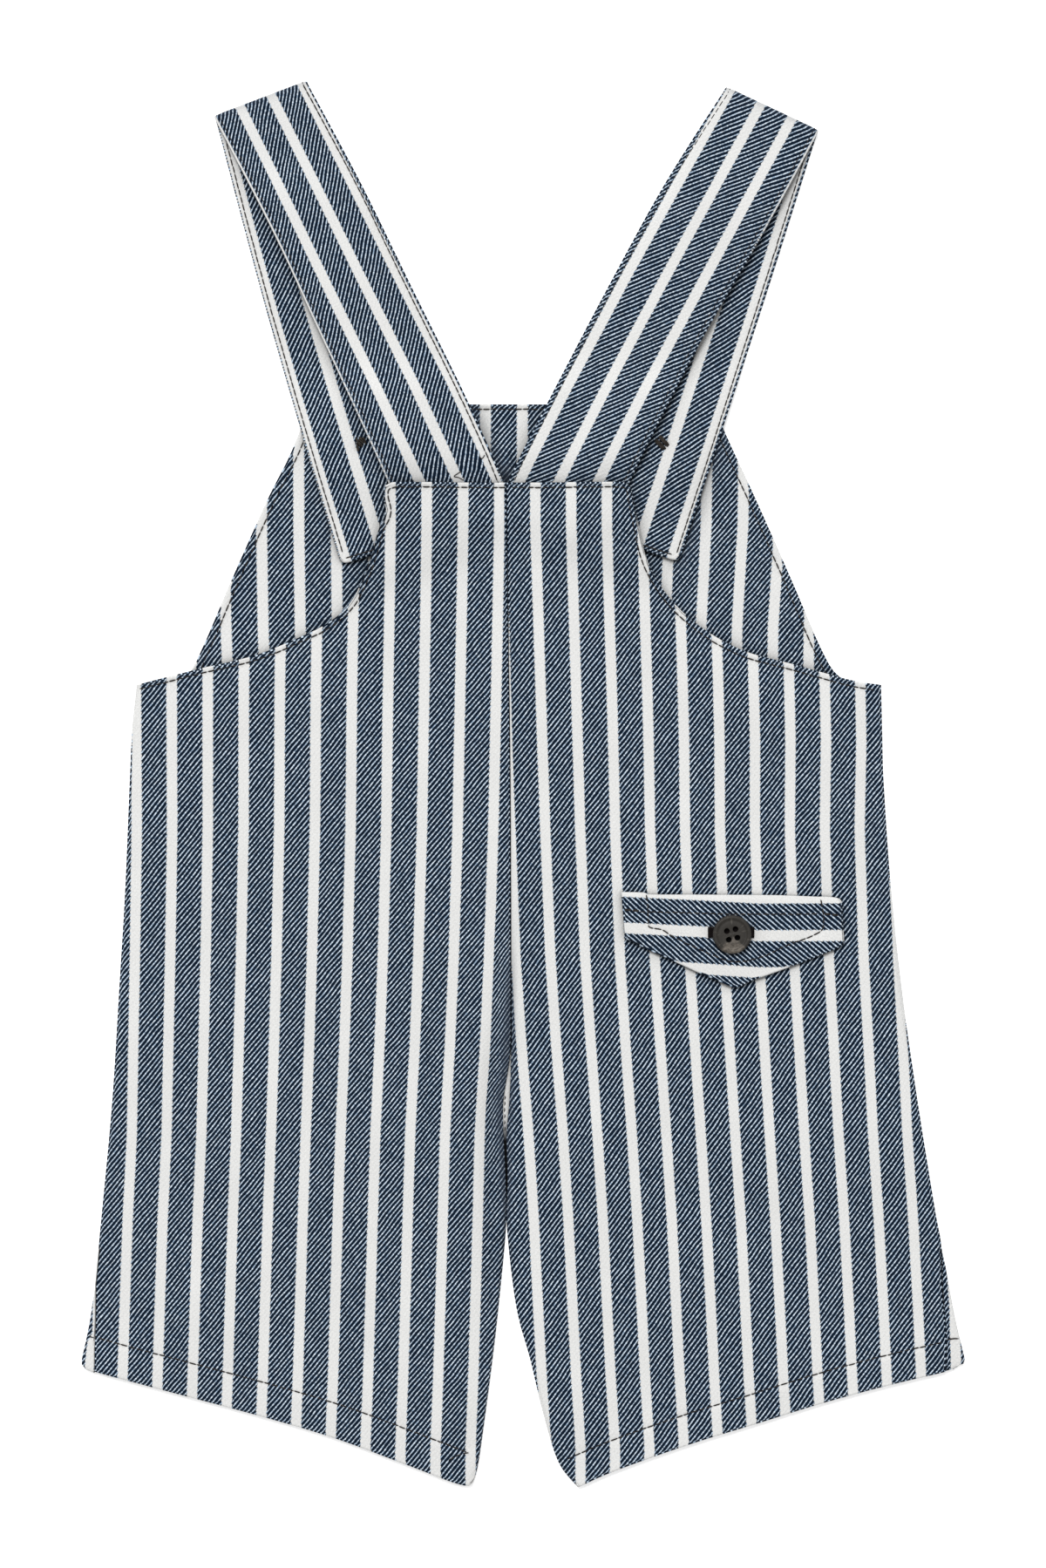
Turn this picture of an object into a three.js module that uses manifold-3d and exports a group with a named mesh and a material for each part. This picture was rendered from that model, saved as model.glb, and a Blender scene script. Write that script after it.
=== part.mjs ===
// Kids bib overalls with short legs, in striped cotton twill, lying face down on a flat surface.
// The back is on top, the straps are folded over at the shoulders and run inside the bib.
// Millimetres. +X is the wearer's right, +Y points to the shoulders, +Z is up.
import * as THREE from "three";
import { mergeVertices } from "three/addons/utils/BufferGeometryUtils.js";
import Module from "manifold-3d";

// Thicknesses of the walls and the air between them.
const PANEL = 1.2; // body cloth with its turnings
const BAND = 1.6; // strap, two plies sewn together
const FLAP = 1.4; // pocket flap, two plies
const SEAM = 0.3; // between pieces that are sewn edge to edge
const LAYER = 0.5; // between cloths that lie on each other
const PUFF = 1.1; // how far the back rises off the front inside a leg
const ROLL = 13; // width of the rise next to a closed edge

// Body below the underarm, a row for each section: the outer edges, left and right.
const SIDES = [
  { y: 37.6, left: -146.6, right: 135.6 },
  { y: 20, left: -148.4, right: 136.0 },
  { y: 0, left: -149.3, right: 136.6 },
  { y: -40, left: -151.0, right: 139.4 },
  { y: -80, left: -153.4, right: 143.7 },
  { y: -120, left: -155.9, right: 149.4 },
  { y: -160, left: -159.6, right: 155.8 },
  { y: -198, left: -163.2, right: 162.4 },
  { y: -218, left: -167.1, right: 167.0 },
];

// Middle of the back, a row for each section: the edge of the left and of the right piece.
// From the top down to CROTCH it is the centre back seam, and below it the inner edges of the legs.
const CROTCH = -101;
const LEGS_TOUCH = -134;
const MIDDLE = [
  { y: 114.3, left: -6.6, right: -6.3 },
  { y: 60, left: -5.9, right: -5.6 },
  { y: 0, left: -5.1, right: -4.8 },
  { y: -76, left: -4.9, right: -4.5 },
  { y: CROTCH, left: -5.1, right: -4.6 },
  { y: -119, left: -7.5, right: -5.3 },
  { y: -127, left: -7.7, right: -6.0 },
  { y: LEGS_TOUCH, left: -7.5, right: -6.4 },
  { y: -150, left: -6.9, right: -6.0 },
  { y: -168, left: -6.8, right: -6.2 },
  { y: -198, left: -9.4, right: -2.8 },
  { y: -218, left: -11.7, right: 2.5 },
  { y: -238, left: -14.3, right: 7.3 },
  { y: -257, left: -17.0, right: 13.2 },
];

// Hems, a row for each point from the side to the inner corner of the leg.
const HEMS = [
  { leftX: -167.1, leftY: -221.9, rightX: 164.8, rightY: -221.4 },
  { leftX: -137.1, leftY: -229.3, rightX: 140.1, rightY: -227.2 },
  { leftX: -98.2, leftY: -239.7, rightX: 114.3, rightY: -234.1 },
  { leftX: -70.8, leftY: -247.9, rightX: 88.6, rightY: -242.1 },
  { leftX: -44.1, leftY: -257.8, rightX: 63.0, rightY: -250.0 },
  { leftX: -22.9, leftY: -265.6, rightX: 33.8, rightY: -260.4 },
  { leftX: -18.6, leftY: -263.6, rightX: 20.6, rightY: -266.4 },
];

// On the last stretch above the hems the side seams lie on top, inside the folded edge.
const SEAM_SHOWS = [
  { y: -175, left: -161.0, right: 158.4 },
  { y: -189, left: -161.95, right: 158.5 },
  { y: -198, left: -161.95, right: 159.1 },
  { y: -204, left: -162.0, right: 159.8 },
  { y: -213, left: -162.4, right: 160.1 },
  { y: -222.6, left: -162.4, right: 159.8 },
];

// Armholes of the back, a row for each point from the side seam to the top edge.
const TOP_EDGE = 114.0;
const ARMHOLES = [
  { leftX: -146.6, leftY: 37.6, rightX: 135.6, rightY: 37.2 },
  { leftX: -124.6, leftY: 43.2, rightX: 123.3, rightY: 39.2 },
  { leftX: -101.8, leftY: 48.7, rightX: 100.8, rightY: 45.4 },
  { leftX: -85.3, leftY: 55.4, rightX: 84.0, rightY: 50.0 },
  { leftX: -74.6, leftY: 60.7, rightX: 69.6, rightY: 57.6 },
  { leftX: -65.2, leftY: 69.1, rightX: 56.9, rightY: 68.5 },
  { leftX: -58.2, leftY: 84.3, rightX: 47.6, rightY: 82.5 },
  { leftX: -54.6, leftY: 98.5, rightX: 43.4, rightY: 98.0 },
  { leftX: -53.2, leftY: 109.5, rightX: 41.0, rightY: 110.0 },
  { leftX: -52.2, leftY: 112.6, rightX: 39.9, rightY: 113.0 },
  { leftX: -49.8, leftY: 113.5, rightX: 37.8, rightY: 113.7 },
  { leftX: -45, leftY: TOP_EDGE, rightX: 34, rightY: TOP_EDGE },
];

// Bib, a row for each section from its top edge to the underarm.
const WAIST = 6;
const BIB = [
  { y: 144.0, left: -80.4, right: 72.8 },
  { y: 135.7, left: -84.0, right: 75.4 },
  { y: 124, left: -88.9, right: 80.7 },
  { y: 107, left: -97.5, right: 88.6 },
  { y: 77.4, left: -110.7, right: 101.7 },
  { y: 52, left: -121.6, right: 112.6 },
  { y: 41.5, left: -127.5, right: 119.0 },
  { y: 38.2, left: -137, right: 127.5 },
];

// Straps, a row for each section. The back stretch runs from the sewn end up to the shoulder fold,
// and the front stretch comes back from the fold to the free end inside the bib.
const STRAPS = {
  strap_left: {
    back: [
      { leftX: -48.6, leftY: 107, rightX: -7.3, rightY: 107 },
      { leftX: -51.3, leftY: 114.3, rightX: -7.6, rightY: 114.3 },
      { leftX: -59.1, leftY: 131.8, rightX: -22.6, rightY: 148.3 },
      { leftX: -77.4, leftY: 171.4, rightX: -42.1, rightY: 187.9 },
      { leftX: -95.4, leftY: 210.2, rightX: -61.5, rightY: 227.5 },
      { leftX: -116.6, leftY: 251.4, rightX: -81.4, rightY: 264.8 },
    ],
    front: [
      { leftX: -116.6, leftY: 251.4, rightX: -81.4, rightY: 264.8 },
      { leftX: -96.2, leftY: 174.7, rightX: -59.2, rightY: 185.7 },
      { leftX: -69.1, leftY: 83.0, rightX: -31.5, rightY: 94.1 },
    ],
  },
  strap_right: {
    back: [
      { leftX: -5.6, leftY: 107, rightX: 37.4, rightY: 107 },
      { leftX: -5.6, leftY: 114.8, rightX: 40.1, rightY: 113.8 },
      { leftX: 11.1, leftY: 148.3, rightX: 48.0, rightY: 130.2 },
      { leftX: 31.8, leftY: 187.9, rightX: 68.5, rightY: 169.8 },
      { leftX: 53.6, leftY: 227.5, rightX: 91.4, rightY: 209.6 },
      { leftX: 75.9, leftY: 262.6, rightX: 111.2, rightY: 246.0 },
    ],
    front: [
      { leftX: 75.9, leftY: 262.6, rightX: 111.2, rightY: 246.0 },
      { leftX: 51.8, leftY: 186.6, rightX: 88.6, rightY: 174.7 },
      { leftX: 22.1, leftY: 95.9, rightX: 58.9, rightY: 84.0 },
    ],
  },
};

// Pocket flap: its top edge, and its lower edge with the blunt point under the button.
const FLAP_TOP = [
  [36.9, -40.8], [45.8, -41.0], [47.4, -41.7], [66, -41.8], [95, -42.0], [111.5, -42.6], [118.6, -43.0],
  [120.4, -44.4],
];
const FLAP_POINT = [
  [38.4, -58.4], [47.0, -62.7], [57.5, -67.4], [65.7, -71.2], [73.1, -74.4], [79.6, -77.0], [82.6, -76.3],
  [86.6, -74.3], [93.2, -72.0], [101.1, -69.1], [112.4, -64.8], [120.1, -61.4], [121.3, -59.8],
];

// Buttons: one closes the flap, and one at each strap end is buttoned through the bib.
const BUTTON = { radius: 7.3, rim: 0.8, thickness: 2.4, dish: 0.7, holes: 4, hole: 1.05, pitch: 2.35, turn: 58 };
const FLAP_BUTTON = { x: 78.8, y: -56.8 };
const BIB_BUTTONS = { bib_button_left: { x: -61.5, y: 129.2 }, bib_button_right: { x: 52.3, y: 128.9 } };
const HILL = 24; // width of the rise of the bib round a button under it
const STRAP_ARCH = 1.9; // how far the upper stretch of a strap lifts between the back and the fold

// Soft creases of the back: middle, direction in degrees, length, width and height of each.
const CREASES = [
  { x: -17.5, y: -112, turn: 88, length: 200, width: 7.5, height: 3.4 },
  { x: 9, y: -118, turn: 98, length: 150, width: 8, height: 1.2 },
  { x: 112, y: 2, turn: 74, length: 90, width: 15, height: 0.7 },
  { x: -118, y: -4, turn: 98, length: 110, width: 16, height: 0.6 },
  { x: 30, y: -128, turn: 58, length: 90, width: 13, height: 0.6 },
  { x: -46, y: -140, turn: 112, length: 100, width: 14, height: 0.6 },
  { x: -95, y: -150, turn: 84, length: 70, width: 12, height: -0.5 },
];

const CLOTH_COLOUR = 0x7c8791;
const BUTTON_COLOUR = 0x2b2724;

const mix = (a, b, t) => a + (b - a) * t;

// Rises smoothly from 0 to 1 while t goes from 0 to 1.
function ease(t) {
  const s = THREE.MathUtils.clamp(t, 0, 1);
  return s * s * (3 - 2 * s);
}

// Value of one column of a section table at height y. The rows run downwards.
function sectionAt(rows, column, y) {
  const below = rows.findIndex((row) => row.y <= y);
  if (below === 0) return rows[0][column];
  if (below < 0) return rows.at(-1)[column];
  const [high, low] = [rows[below - 1], rows[below]];
  return mix(high[column], low[column], (high.y - y) / (high.y - low.y));
}

// Smooth plane curve through points, and a curve made of several that meet at corners.
function curve(points) {
  return new THREE.SplineCurve(points.map(([x, y]) => new THREE.Vector2(x, y)));
}

function route(...stretches) {
  const whole = new THREE.CurvePath();
  stretches.forEach((points) => whole.add(curve(points)));
  return whole;
}

// Columns of a table as points.
const pointsOf = (rows, x, y = "y") => rows.map((row) => [row[x], row[y]]);

// Fills four bounding curves: u runs from left to right, v from bottom to top.
function patch({ bottom, top, left, right }) {
  const [bottomLeft, bottomRight] = [bottom.getPoint(0), bottom.getPoint(1)];
  const [topLeft, topRight] = [top.getPoint(0), top.getPoint(1)];
  return (u, v) => {
    const upDown = bottom.getPoint(u).lerp(top.getPoint(u), v);
    const sideways = left.getPoint(v).lerp(right.getPoint(v), u);
    const corners = bottomLeft.clone().lerp(bottomRight, u).lerp(topLeft.clone().lerp(topRight, u), v);
    return upDown.add(sideways).sub(corners);
  };
}

// A closed wall: two skins of (across + 1) x (along + 1) points, joined round the rim.
function wall(across, along, outer, inner) {
  const positions = [];
  const index = [];
  for (const skin of [outer, inner]) {
    for (let j = 0; j <= along; j++) {
      for (let i = 0; i <= across; i++) positions.push(...skin(i / across, j / along));
    }
  }
  const vertex = (skin, i, j) => (skin * (along + 1) + j) * (across + 1) + i;
  const quad = (a, b, c, d) => index.push(a, b, c, a, c, d);
  for (let j = 0; j < along; j++) {
    for (let i = 0; i < across; i++) {
      quad(vertex(0, i, j), vertex(0, i + 1, j), vertex(0, i + 1, j + 1), vertex(0, i, j + 1));
      quad(vertex(1, i, j), vertex(1, i, j + 1), vertex(1, i + 1, j + 1), vertex(1, i + 1, j));
    }
    quad(vertex(0, 0, j), vertex(0, 0, j + 1), vertex(1, 0, j + 1), vertex(1, 0, j));
    quad(vertex(1, across, j), vertex(1, across, j + 1), vertex(0, across, j + 1), vertex(0, across, j));
  }
  for (let i = 0; i < across; i++) {
    quad(vertex(1, i, 0), vertex(1, i + 1, 0), vertex(0, i + 1, 0), vertex(0, i, 0));
    quad(vertex(0, i, along), vertex(0, i + 1, along), vertex(1, i + 1, along), vertex(1, i, along));
  }
  const geometry = new THREE.BufferGeometry();
  geometry.setAttribute("position", new THREE.Float32BufferAttribute(positions, 3));
  geometry.setIndex(index);
  geometry.computeVertexNormals();
  return geometry;
}

// A flat-lying panel: its plan comes from a patch and its underside from a height function.
// Its columns can crowd towards both sides, and its rows towards the top.
function panel(across, along, plan, under, thickness, crowd = { sides: 0, top: 1 }) {
  const column = (t) => t - (crowd.sides * Math.sin(2 * Math.PI * t)) / (2 * Math.PI);
  const row = (t) => 1 - (1 - t) ** crowd.top;
  const skin = (lift) => (u, v) => {
    const { x, y } = plan(column(u), row(v));
    return [x, y, under(x, y) + lift];
  };
  return wall(across, along, skin(thickness), skin(0));
}

// Heights of the layers, from the ground up.

// Underside of the front: on the ground, except where it passes over a bib button.
function frontUnder(x, y) {
  const hills = Object.values(BIB_BUTTONS).map((button) => {
    const away = Math.hypot(x - button.x, y - button.y) - BUTTON.radius - 2;
    return 1 - ease(away / HILL);
  });
  return (BUTTON.thickness + SEAM) * Math.max(...hills);
}

// 1 over the front stretch of a strap, falling to 0 beside it.
function overStrap(x, y) {
  const covers = Object.values(STRAPS).map(({ front }) => {
    const [fold, end] = [front[0], front.at(-1)];
    const start = new THREE.Vector2(fold.leftX + fold.rightX, fold.leftY + fold.rightY).divideScalar(2);
    const stop = new THREE.Vector2(end.leftX + end.rightX, end.leftY + end.rightY).divideScalar(2);
    const along = stop.clone().sub(start);
    const half = Math.hypot(end.rightX - end.leftX, end.rightY - end.leftY) / 2;
    const length = along.length();
    along.normalize();
    const from = new THREE.Vector2(x, y).sub(start);
    const beside = Math.abs(from.cross(along)) - half;
    const beyond = from.dot(along) - length;
    return 1 - ease((Math.max(beside, beyond) - 3) / 14);
  });
  return Math.max(...covers);
}

// 1 over the sewn strap ends just inside the top edge of the back, falling to 0 below them.
function overSewnEnds(x, y) {
  return 1 - ease((103 - y) / 18);
}

// Straps drop to the ground beyond the top edge of the bib.
function onBib(y) {
  return 1 - ease((y - BIB[0].y - 3) / 16);
}

const frontTop = (x, y) => frontUnder(x, y) + PANEL;
const strapFrontUnder = (x, y) => onBib(y) * (frontTop(x, y) + LAYER);

// The upper stretch of a strap clears the lower one and arches up a little between the back and the fold.
function strapBackUnder(x, y) {
  const arch = STRAP_ARCH * ease((y - 113) / 12) * (1 - ease((y - 218) / 26));
  return strapFrontUnder(x, y) + overStrap(x, y) * (BAND + 2 * SEAM) + arch;
}

function crease(row, x, y) {
  const turn = THREE.MathUtils.degToRad(row.turn);
  const along = (x - row.x) * Math.cos(turn) + (y - row.y) * Math.sin(turn);
  const off = (y - row.y) * Math.cos(turn) - (x - row.x) * Math.sin(turn);
  return row.height * Math.exp(-((off / row.width) ** 2)) * (1 - ease(Math.abs(along) / (row.length / 2)));
}

// Rise of the back off the front: none at the side seams and at the inner edges of the legs.
function rise(x, y) {
  const fromSide = Math.min(x - sectionAt(SIDES, "left", y), sectionAt(SIDES, "right", y) - x);
  const fromInner = x < sectionAt(MIDDLE, "left", y) + SEAM / 2
    ? sectionAt(MIDDLE, "left", y) - x
    : x - sectionAt(MIDDLE, "right", y);
  const inLegs = ease((CROTCH + 14 - y) / 26);
  const hollow = ease(fromSide / ROLL) * mix(1, ease(fromInner / ROLL), inLegs) * (1 - ease((y - 25) / 55));
  const creases = CREASES.reduce((sum, row) => sum + crease(row, x, y), 0);
  return Math.max(0, hollow * (PUFF + creases));
}

function backUnder(x, y) {
  const ends = overSewnEnds(x, y) * (BAND + LAYER + SEAM);
  return frontTop(x, y) + SEAM + overStrap(x, y) * (BAND + 3 * SEAM) + ends + rise(x, y) * (1 - overStrap(x, y));
}

const backTop = (x, y) => backUnder(x, y) + PANEL;
const flapUnder = (x, y) => backTop(x, y) + SEAM;

// Edges of the body pieces as points.
const side = (column, from = 1e3, to = -1e3) => pointsOf(SIDES.filter((row) => row.y < from && row.y > to), column);
const middle = (column, from = 1e3, to = -1e3) =>
  pointsOf(MIDDLE.filter((row) => row.y <= from && row.y >= to), column);
const leftHem = pointsOf(HEMS, "leftX", "leftY");
const rightHem = pointsOf(HEMS, "rightX", "rightY").reverse();
const upwards = (points) => [...points].reverse();

function backPiece(name) {
  const leftPiece = name === "back_left";
  const column = leftPiece ? "left" : "right";
  const armhole = pointsOf(ARMHOLES, `${column}X`, `${column}Y`);
  const topCorner = [MIDDLE[0][column], TOP_EDGE];
  const seamShows = pointsOf(SEAM_SHOWS, column);
  const outer = upwards([...side(column, 1e3, -170), ...seamShows]);
  const corner = leftPiece ? leftHem.at(-1) : rightHem[0];
  const inner = [corner, ...upwards([topCorner, ...middle(column).slice(1)])];
  const hem = leftPiece ? [outer[0], ...leftHem.slice(1)] : [...rightHem.slice(0, -1), outer[0]];
  const top = leftPiece ? route(armhole, [armhole.at(-1), topCorner])
    : route([topCorner, armhole.at(-1)], upwards(armhole));
  const [left, right] = leftPiece ? [outer, inner] : [inner, outer];
  const plan = patch({ bottom: route(hem), top, left: route(left), right: route(right) });
  return panel(16, 34, plan, backUnder, PANEL, { sides: 0.55, top: 1.4 });
}

function frontLeg(name) {
  const leftPiece = name === "front_leg_left";
  const column = leftPiece ? "left" : "right";
  const outer = upwards([[sectionAt(SIDES, column, WAIST), WAIST], ...side(column, WAIST - 1)]);
  const seamX = (y) => sectionAt(MIDDLE, "right", y) - (leftPiece ? LAYER : 0);
  const seam = [WAIST, -40, -76, CROTCH, -119].map((y) => [seamX(y), y]);
  const inner = [...seam, ...middle(column, LEGS_TOUCH), (leftPiece ? leftHem.at(-1) : rightHem[0])];
  const [left, right] = leftPiece ? [outer, upwards(inner)] : [upwards(inner), outer];
  const hem = leftPiece ? leftHem : rightHem;
  const bottom = route([left[0], ...hem.slice(1, -1), right[0]]);
  const plan = patch({
    bottom,
    top: route([left.at(-1), right.at(-1)]),
    left: route(left),
    right: route(right),
  });
  return panel(8, 22, plan, () => 0, PANEL);
}

function frontBib() {
  const seamY = WAIST + SEAM;
  const edge = (column) => {
    const start = [sectionAt(SIDES, column, seamY), seamY];
    const underarm = [SIDES[0][column], SIDES[0].y];
    return route([start, underarm], [underarm, ...upwards(pointsOf(BIB, column))]);
  };
  const [left, right] = [edge("left"), edge("right")];
  const line = (t) => route([left.getPoint(t).toArray(), right.getPoint(t).toArray()]);
  const plan = patch({ bottom: line(0), top: line(1), left, right });
  return panel(28, 22, plan, frontUnder, PANEL);
}

// One band, folded round a line at the shoulder with a narrow space inside the fold.
function strap({ back, front }) {
  const edges = (rows) => ({
    left: curve(pointsOf(rows, "leftX", "leftY")),
    right: curve(pointsOf(rows, "rightX", "rightY")),
  });
  const [backEdges, frontEdges] = [edges(back), edges(front)];
  const fold = front[0];
  const foldAxis = new THREE.Vector2(fold.rightX - fold.leftX, fold.rightY - fold.leftY).normalize();
  const outward = new THREE.Vector2(-foldAxis.y, foldAxis.x);
  const middleHeight = BAND + SEAM;
  const bend = BAND / 2 + SEAM;
  const stretches = { back: 22, fold: 6, front: 26 };
  const rows = stretches.back + stretches.fold + stretches.front;
  const flat = (sides, u, t, under, up) => {
    const { x, y } = sides.left.getPointAt(t).lerp(sides.right.getPointAt(t), u);
    return { x, y, z: under(x, y) + BAND / 2, tip: [0, 0, up] };
  };
  const middlePoint = (u, v) => {
    const row = v * rows;
    if (row <= stretches.back) return flat(backEdges, u, row / stretches.back, strapBackUnder, 1);
    const past = row - stretches.back - stretches.fold;
    if (past >= 0) return flat(frontEdges, u, past / stretches.front, strapFrontUnder, -1);
    const angle = Math.PI * (0.5 - (row - stretches.back) / stretches.fold);
    const [out, up] = [Math.cos(angle), Math.sin(angle)];
    return {
      x: mix(fold.leftX, fold.rightX, u) + outward.x * bend * out,
      y: mix(fold.leftY, fold.rightY, u) + outward.y * bend * out,
      z: middleHeight + bend * up,
      tip: [outward.x * out, outward.y * out, up],
    };
  };
  const skin = (distance) => (u, v) => {
    const { x, y, z, tip } = middlePoint(u, v);
    return [x + tip[0] * distance, y + tip[1] * distance, z + tip[2] * distance];
  };
  return wall(9, rows, skin(BAND / 2), skin(-BAND / 2));
}

function pocketFlap() {
  const edge = (end) => route([FLAP_POINT.at(end), FLAP_TOP.at(end)]);
  const plan = patch({ bottom: route(FLAP_POINT), top: route(FLAP_TOP), left: edge(0), right: edge(-1) });
  return panel(26, 8, plan, flapUnder, FLAP);
}

const wasm = await Module();
wasm.setup();

function toManifold(geometry) {
  const bare = geometry.clone();
  bare.deleteAttribute("uv");
  bare.deleteAttribute("normal");
  const merged = mergeVertices(bare, 1e-4);
  const mesh = new wasm.Mesh({
    numProp: 3,
    vertProperties: new Float32Array(merged.attributes.position.array),
    triVerts: new Uint32Array(merged.index.array),
  });
  mesh.merge();
  return new wasm.Manifold(mesh);
}

function fromManifold(solid) {
  const mesh = solid.getMesh();
  const geometry = new THREE.BufferGeometry();
  geometry.setAttribute("position", new THREE.Float32BufferAttribute(mesh.vertProperties, 3));
  geometry.setIndex(Array.from(mesh.triVerts));
  geometry.computeVertexNormals();
  return geometry;
}

// A dished button with a raised rim and four thread holes, its face towards +Z.
function buttonGeometry() {
  const { radius, rim, thickness, dish, hole, holes, pitch, turn } = BUTTON;
  const profile = [
    [0, 0],
    [radius - rim, 0],
    [radius, thickness * 0.4],
    [radius, thickness - 0.6],
    [radius - rim * 0.6, thickness],
    [radius - rim * 1.8, thickness],
    [radius - rim * 3, thickness - dish],
    [0, thickness - dish],
  ].map(([r, z]) => new THREE.Vector2(r, z));
  const body = new THREE.LatheGeometry(profile, 32).rotateX(Math.PI / 2);
  let solid = toManifold(body);
  for (let i = 0; i < holes; i++) {
    const angle = THREE.MathUtils.degToRad(turn + (i * 360) / holes);
    const drill = new THREE.CylinderGeometry(hole, hole, 3 * thickness, 12).rotateX(Math.PI / 2);
    drill.translate(pitch * Math.cos(angle), pitch * Math.sin(angle), thickness / 2);
    solid = solid.subtract(toManifold(drill));
  }
  return fromManifold(solid);
}

// Highest point of a surface under a button.
function seatUnder({ x, y }, surface) {
  const rim = Array.from({ length: 24 }, (_, i) => (i * Math.PI) / 12);
  const heights = rim.map((a) => surface(x + BUTTON.radius * Math.cos(a), y + BUTTON.radius * Math.sin(a)));
  return Math.max(surface(x, y), ...heights);
}

const overalls = new THREE.Group();
const cloth = { color: CLOTH_COLOUR, roughness: 0.9, metalness: 0 };
const horn = { color: BUTTON_COLOUR, roughness: 0.35, metalness: 0 };

function add(name, geometry, finish) {
  const mesh = new THREE.Mesh(geometry, new THREE.MeshStandardMaterial(finish));
  mesh.name = name;
  overalls.add(mesh);
  return mesh;
}

add("front_bib", frontBib(), cloth);
for (const name of ["front_leg_left", "front_leg_right"]) add(name, frontLeg(name), cloth);
for (const [name, rows] of Object.entries(STRAPS)) add(name, strap(rows), cloth);
for (const name of ["back_left", "back_right"]) add(name, backPiece(name), cloth);
add("pocket_flap", pocketFlap(), cloth);

const flapSeat = seatUnder(FLAP_BUTTON, (x, y) => flapUnder(x, y) + FLAP + SEAM);
add("pocket_button", buttonGeometry(), horn).position.set(FLAP_BUTTON.x, FLAP_BUTTON.y, flapSeat);
for (const [name, { x, y }] of Object.entries(BIB_BUTTONS)) {
  const button = add(name, buttonGeometry(), horn);
  button.rotation.x = Math.PI;
  button.position.set(x, y, BUTTON.thickness);
}

export default overalls;
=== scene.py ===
# Kids bib overalls in striped twill, laid face down: cloth shells, stitching, buttons, light and camera.
# Sizes are in millimetres and become metres when a mesh is made. +Y points to the shoulders.
import math

import bpy
import numpy as np
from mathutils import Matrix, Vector
from mathutils.bvhtree import BVHTree


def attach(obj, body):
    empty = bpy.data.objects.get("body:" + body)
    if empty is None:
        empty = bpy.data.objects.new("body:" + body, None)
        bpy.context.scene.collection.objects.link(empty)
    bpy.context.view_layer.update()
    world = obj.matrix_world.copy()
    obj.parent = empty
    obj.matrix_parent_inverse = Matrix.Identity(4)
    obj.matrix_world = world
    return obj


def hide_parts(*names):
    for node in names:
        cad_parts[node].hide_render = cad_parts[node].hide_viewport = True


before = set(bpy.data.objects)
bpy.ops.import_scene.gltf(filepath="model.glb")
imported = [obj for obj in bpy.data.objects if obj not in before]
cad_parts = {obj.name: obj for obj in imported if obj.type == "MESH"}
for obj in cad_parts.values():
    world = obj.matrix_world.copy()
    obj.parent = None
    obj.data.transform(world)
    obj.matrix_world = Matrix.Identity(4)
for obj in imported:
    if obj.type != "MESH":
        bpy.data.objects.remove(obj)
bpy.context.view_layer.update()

MM = 0.001

# Walls and layers, as in the solids.
PANEL = 1.2
BAND = 1.6
FLAP = 1.4
SEAM = 0.3
LAYER = 0.5
PUFF = 1.1  # how far the back rises off the front inside a leg
ROLL = 13  # width of the rise next to a closed edge
SIGN = {"left": 1, "right": -1}  # from each side, the direction in x towards the middle

# Cloth as it is dressed: the shells are a little thinner than the solids' walls.
CLOTH = 0.95
EDGE_ROUND = 2.4  # width of the rounded edge at a side seam
EDGE_DROP = 0.9  # how far the back comes down there to meet the front
HEM = {"left": 12.7, "right": 11.3}  # width of the leg hems
TOPSTITCH = 1.9  # from an edge to its stitching
BIB_SIDE_STITCH = 2.8
FLAP_STITCH = 9.2
STITCH = {"length": 2.9, "gap": 0.08, "radius": 0.26}
STRAP_WIDTH = 39

# Stripes: nominal distance between centres, half width, and the twill lines.
STRIPE = 13.4
STRIPE_HALF = 1.92
TWILL_PITCH = 1.43
TWILL_ANGLE = 51

# Body below the underarm, a row for each section: the outer edges.
SIDES = {
    "y": [37.6, 20, 0, -40, -80, -120, -160, -198, -218],
    "left": [-146.6, -148.4, -149.3, -151.0, -153.4, -155.9, -159.6, -163.2, -167.1],
    "right": [135.6, 136.0, 136.6, 139.4, 143.7, 149.4, 155.8, 162.4, 167.0],
}
# Middle of the back: the centre back seam and, below CROTCH, the inner edges of the legs.
CROTCH = -101
LEGS_TOUCH = -134
MIDDLE = {
    "y": [114.3, 60, 0, -76, CROTCH, -119, -127, LEGS_TOUCH, -150, -168, -198, -218, -238, -257],
    "left": [-6.6, -5.9, -5.1, -4.85, -5.0, -7.5, -7.7, -7.5, -6.75, -6.6, -9.4, -11.7, -14.3, -17.0],
    "right": [-6.4, -5.7, -4.9, -4.6, -4.6, -5.3, -6.0, -6.4, -6.0, -6.3, -2.8, 2.5, 7.3, 13.2],
}
# Hems, from the side to the inner corner of the leg.
HEMS = {
    "left": [(-167.1, -221.9), (-137.1, -229.3), (-98.2, -239.7), (-70.8, -247.9), (-44.1, -257.8),
             (-22.9, -265.6), (-18.6, -263.6)],
    "right": [(164.8, -221.4), (140.1, -227.2), (114.3, -234.1), (88.6, -242.1), (63.0, -250.0),
              (33.8, -260.4), (20.6, -266.4)],
}
# Side seams on the last stretch above the hems, where they lie on top.
SEAM_SHOWS = {
    "y": [-175, -189, -198, -204, -213, -222.6],
    "left": [-161.0, -161.95, -161.95, -162.0, -162.4, -162.4],
    "right": [158.4, 158.5, 159.1, 159.8, 160.1, 159.8],
}
# Lower outer corners of the legs: where they begin and end to round off, by how much, and how much lower the
# seam ends.
CORNERS = {"left": {"start": -220.4, "end": -221.6, "size": 0.9, "lower": 1.4},
           "right": {"start": -217.4, "end": -221.3, "size": 3.3, "lower": 1.1}}
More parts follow.
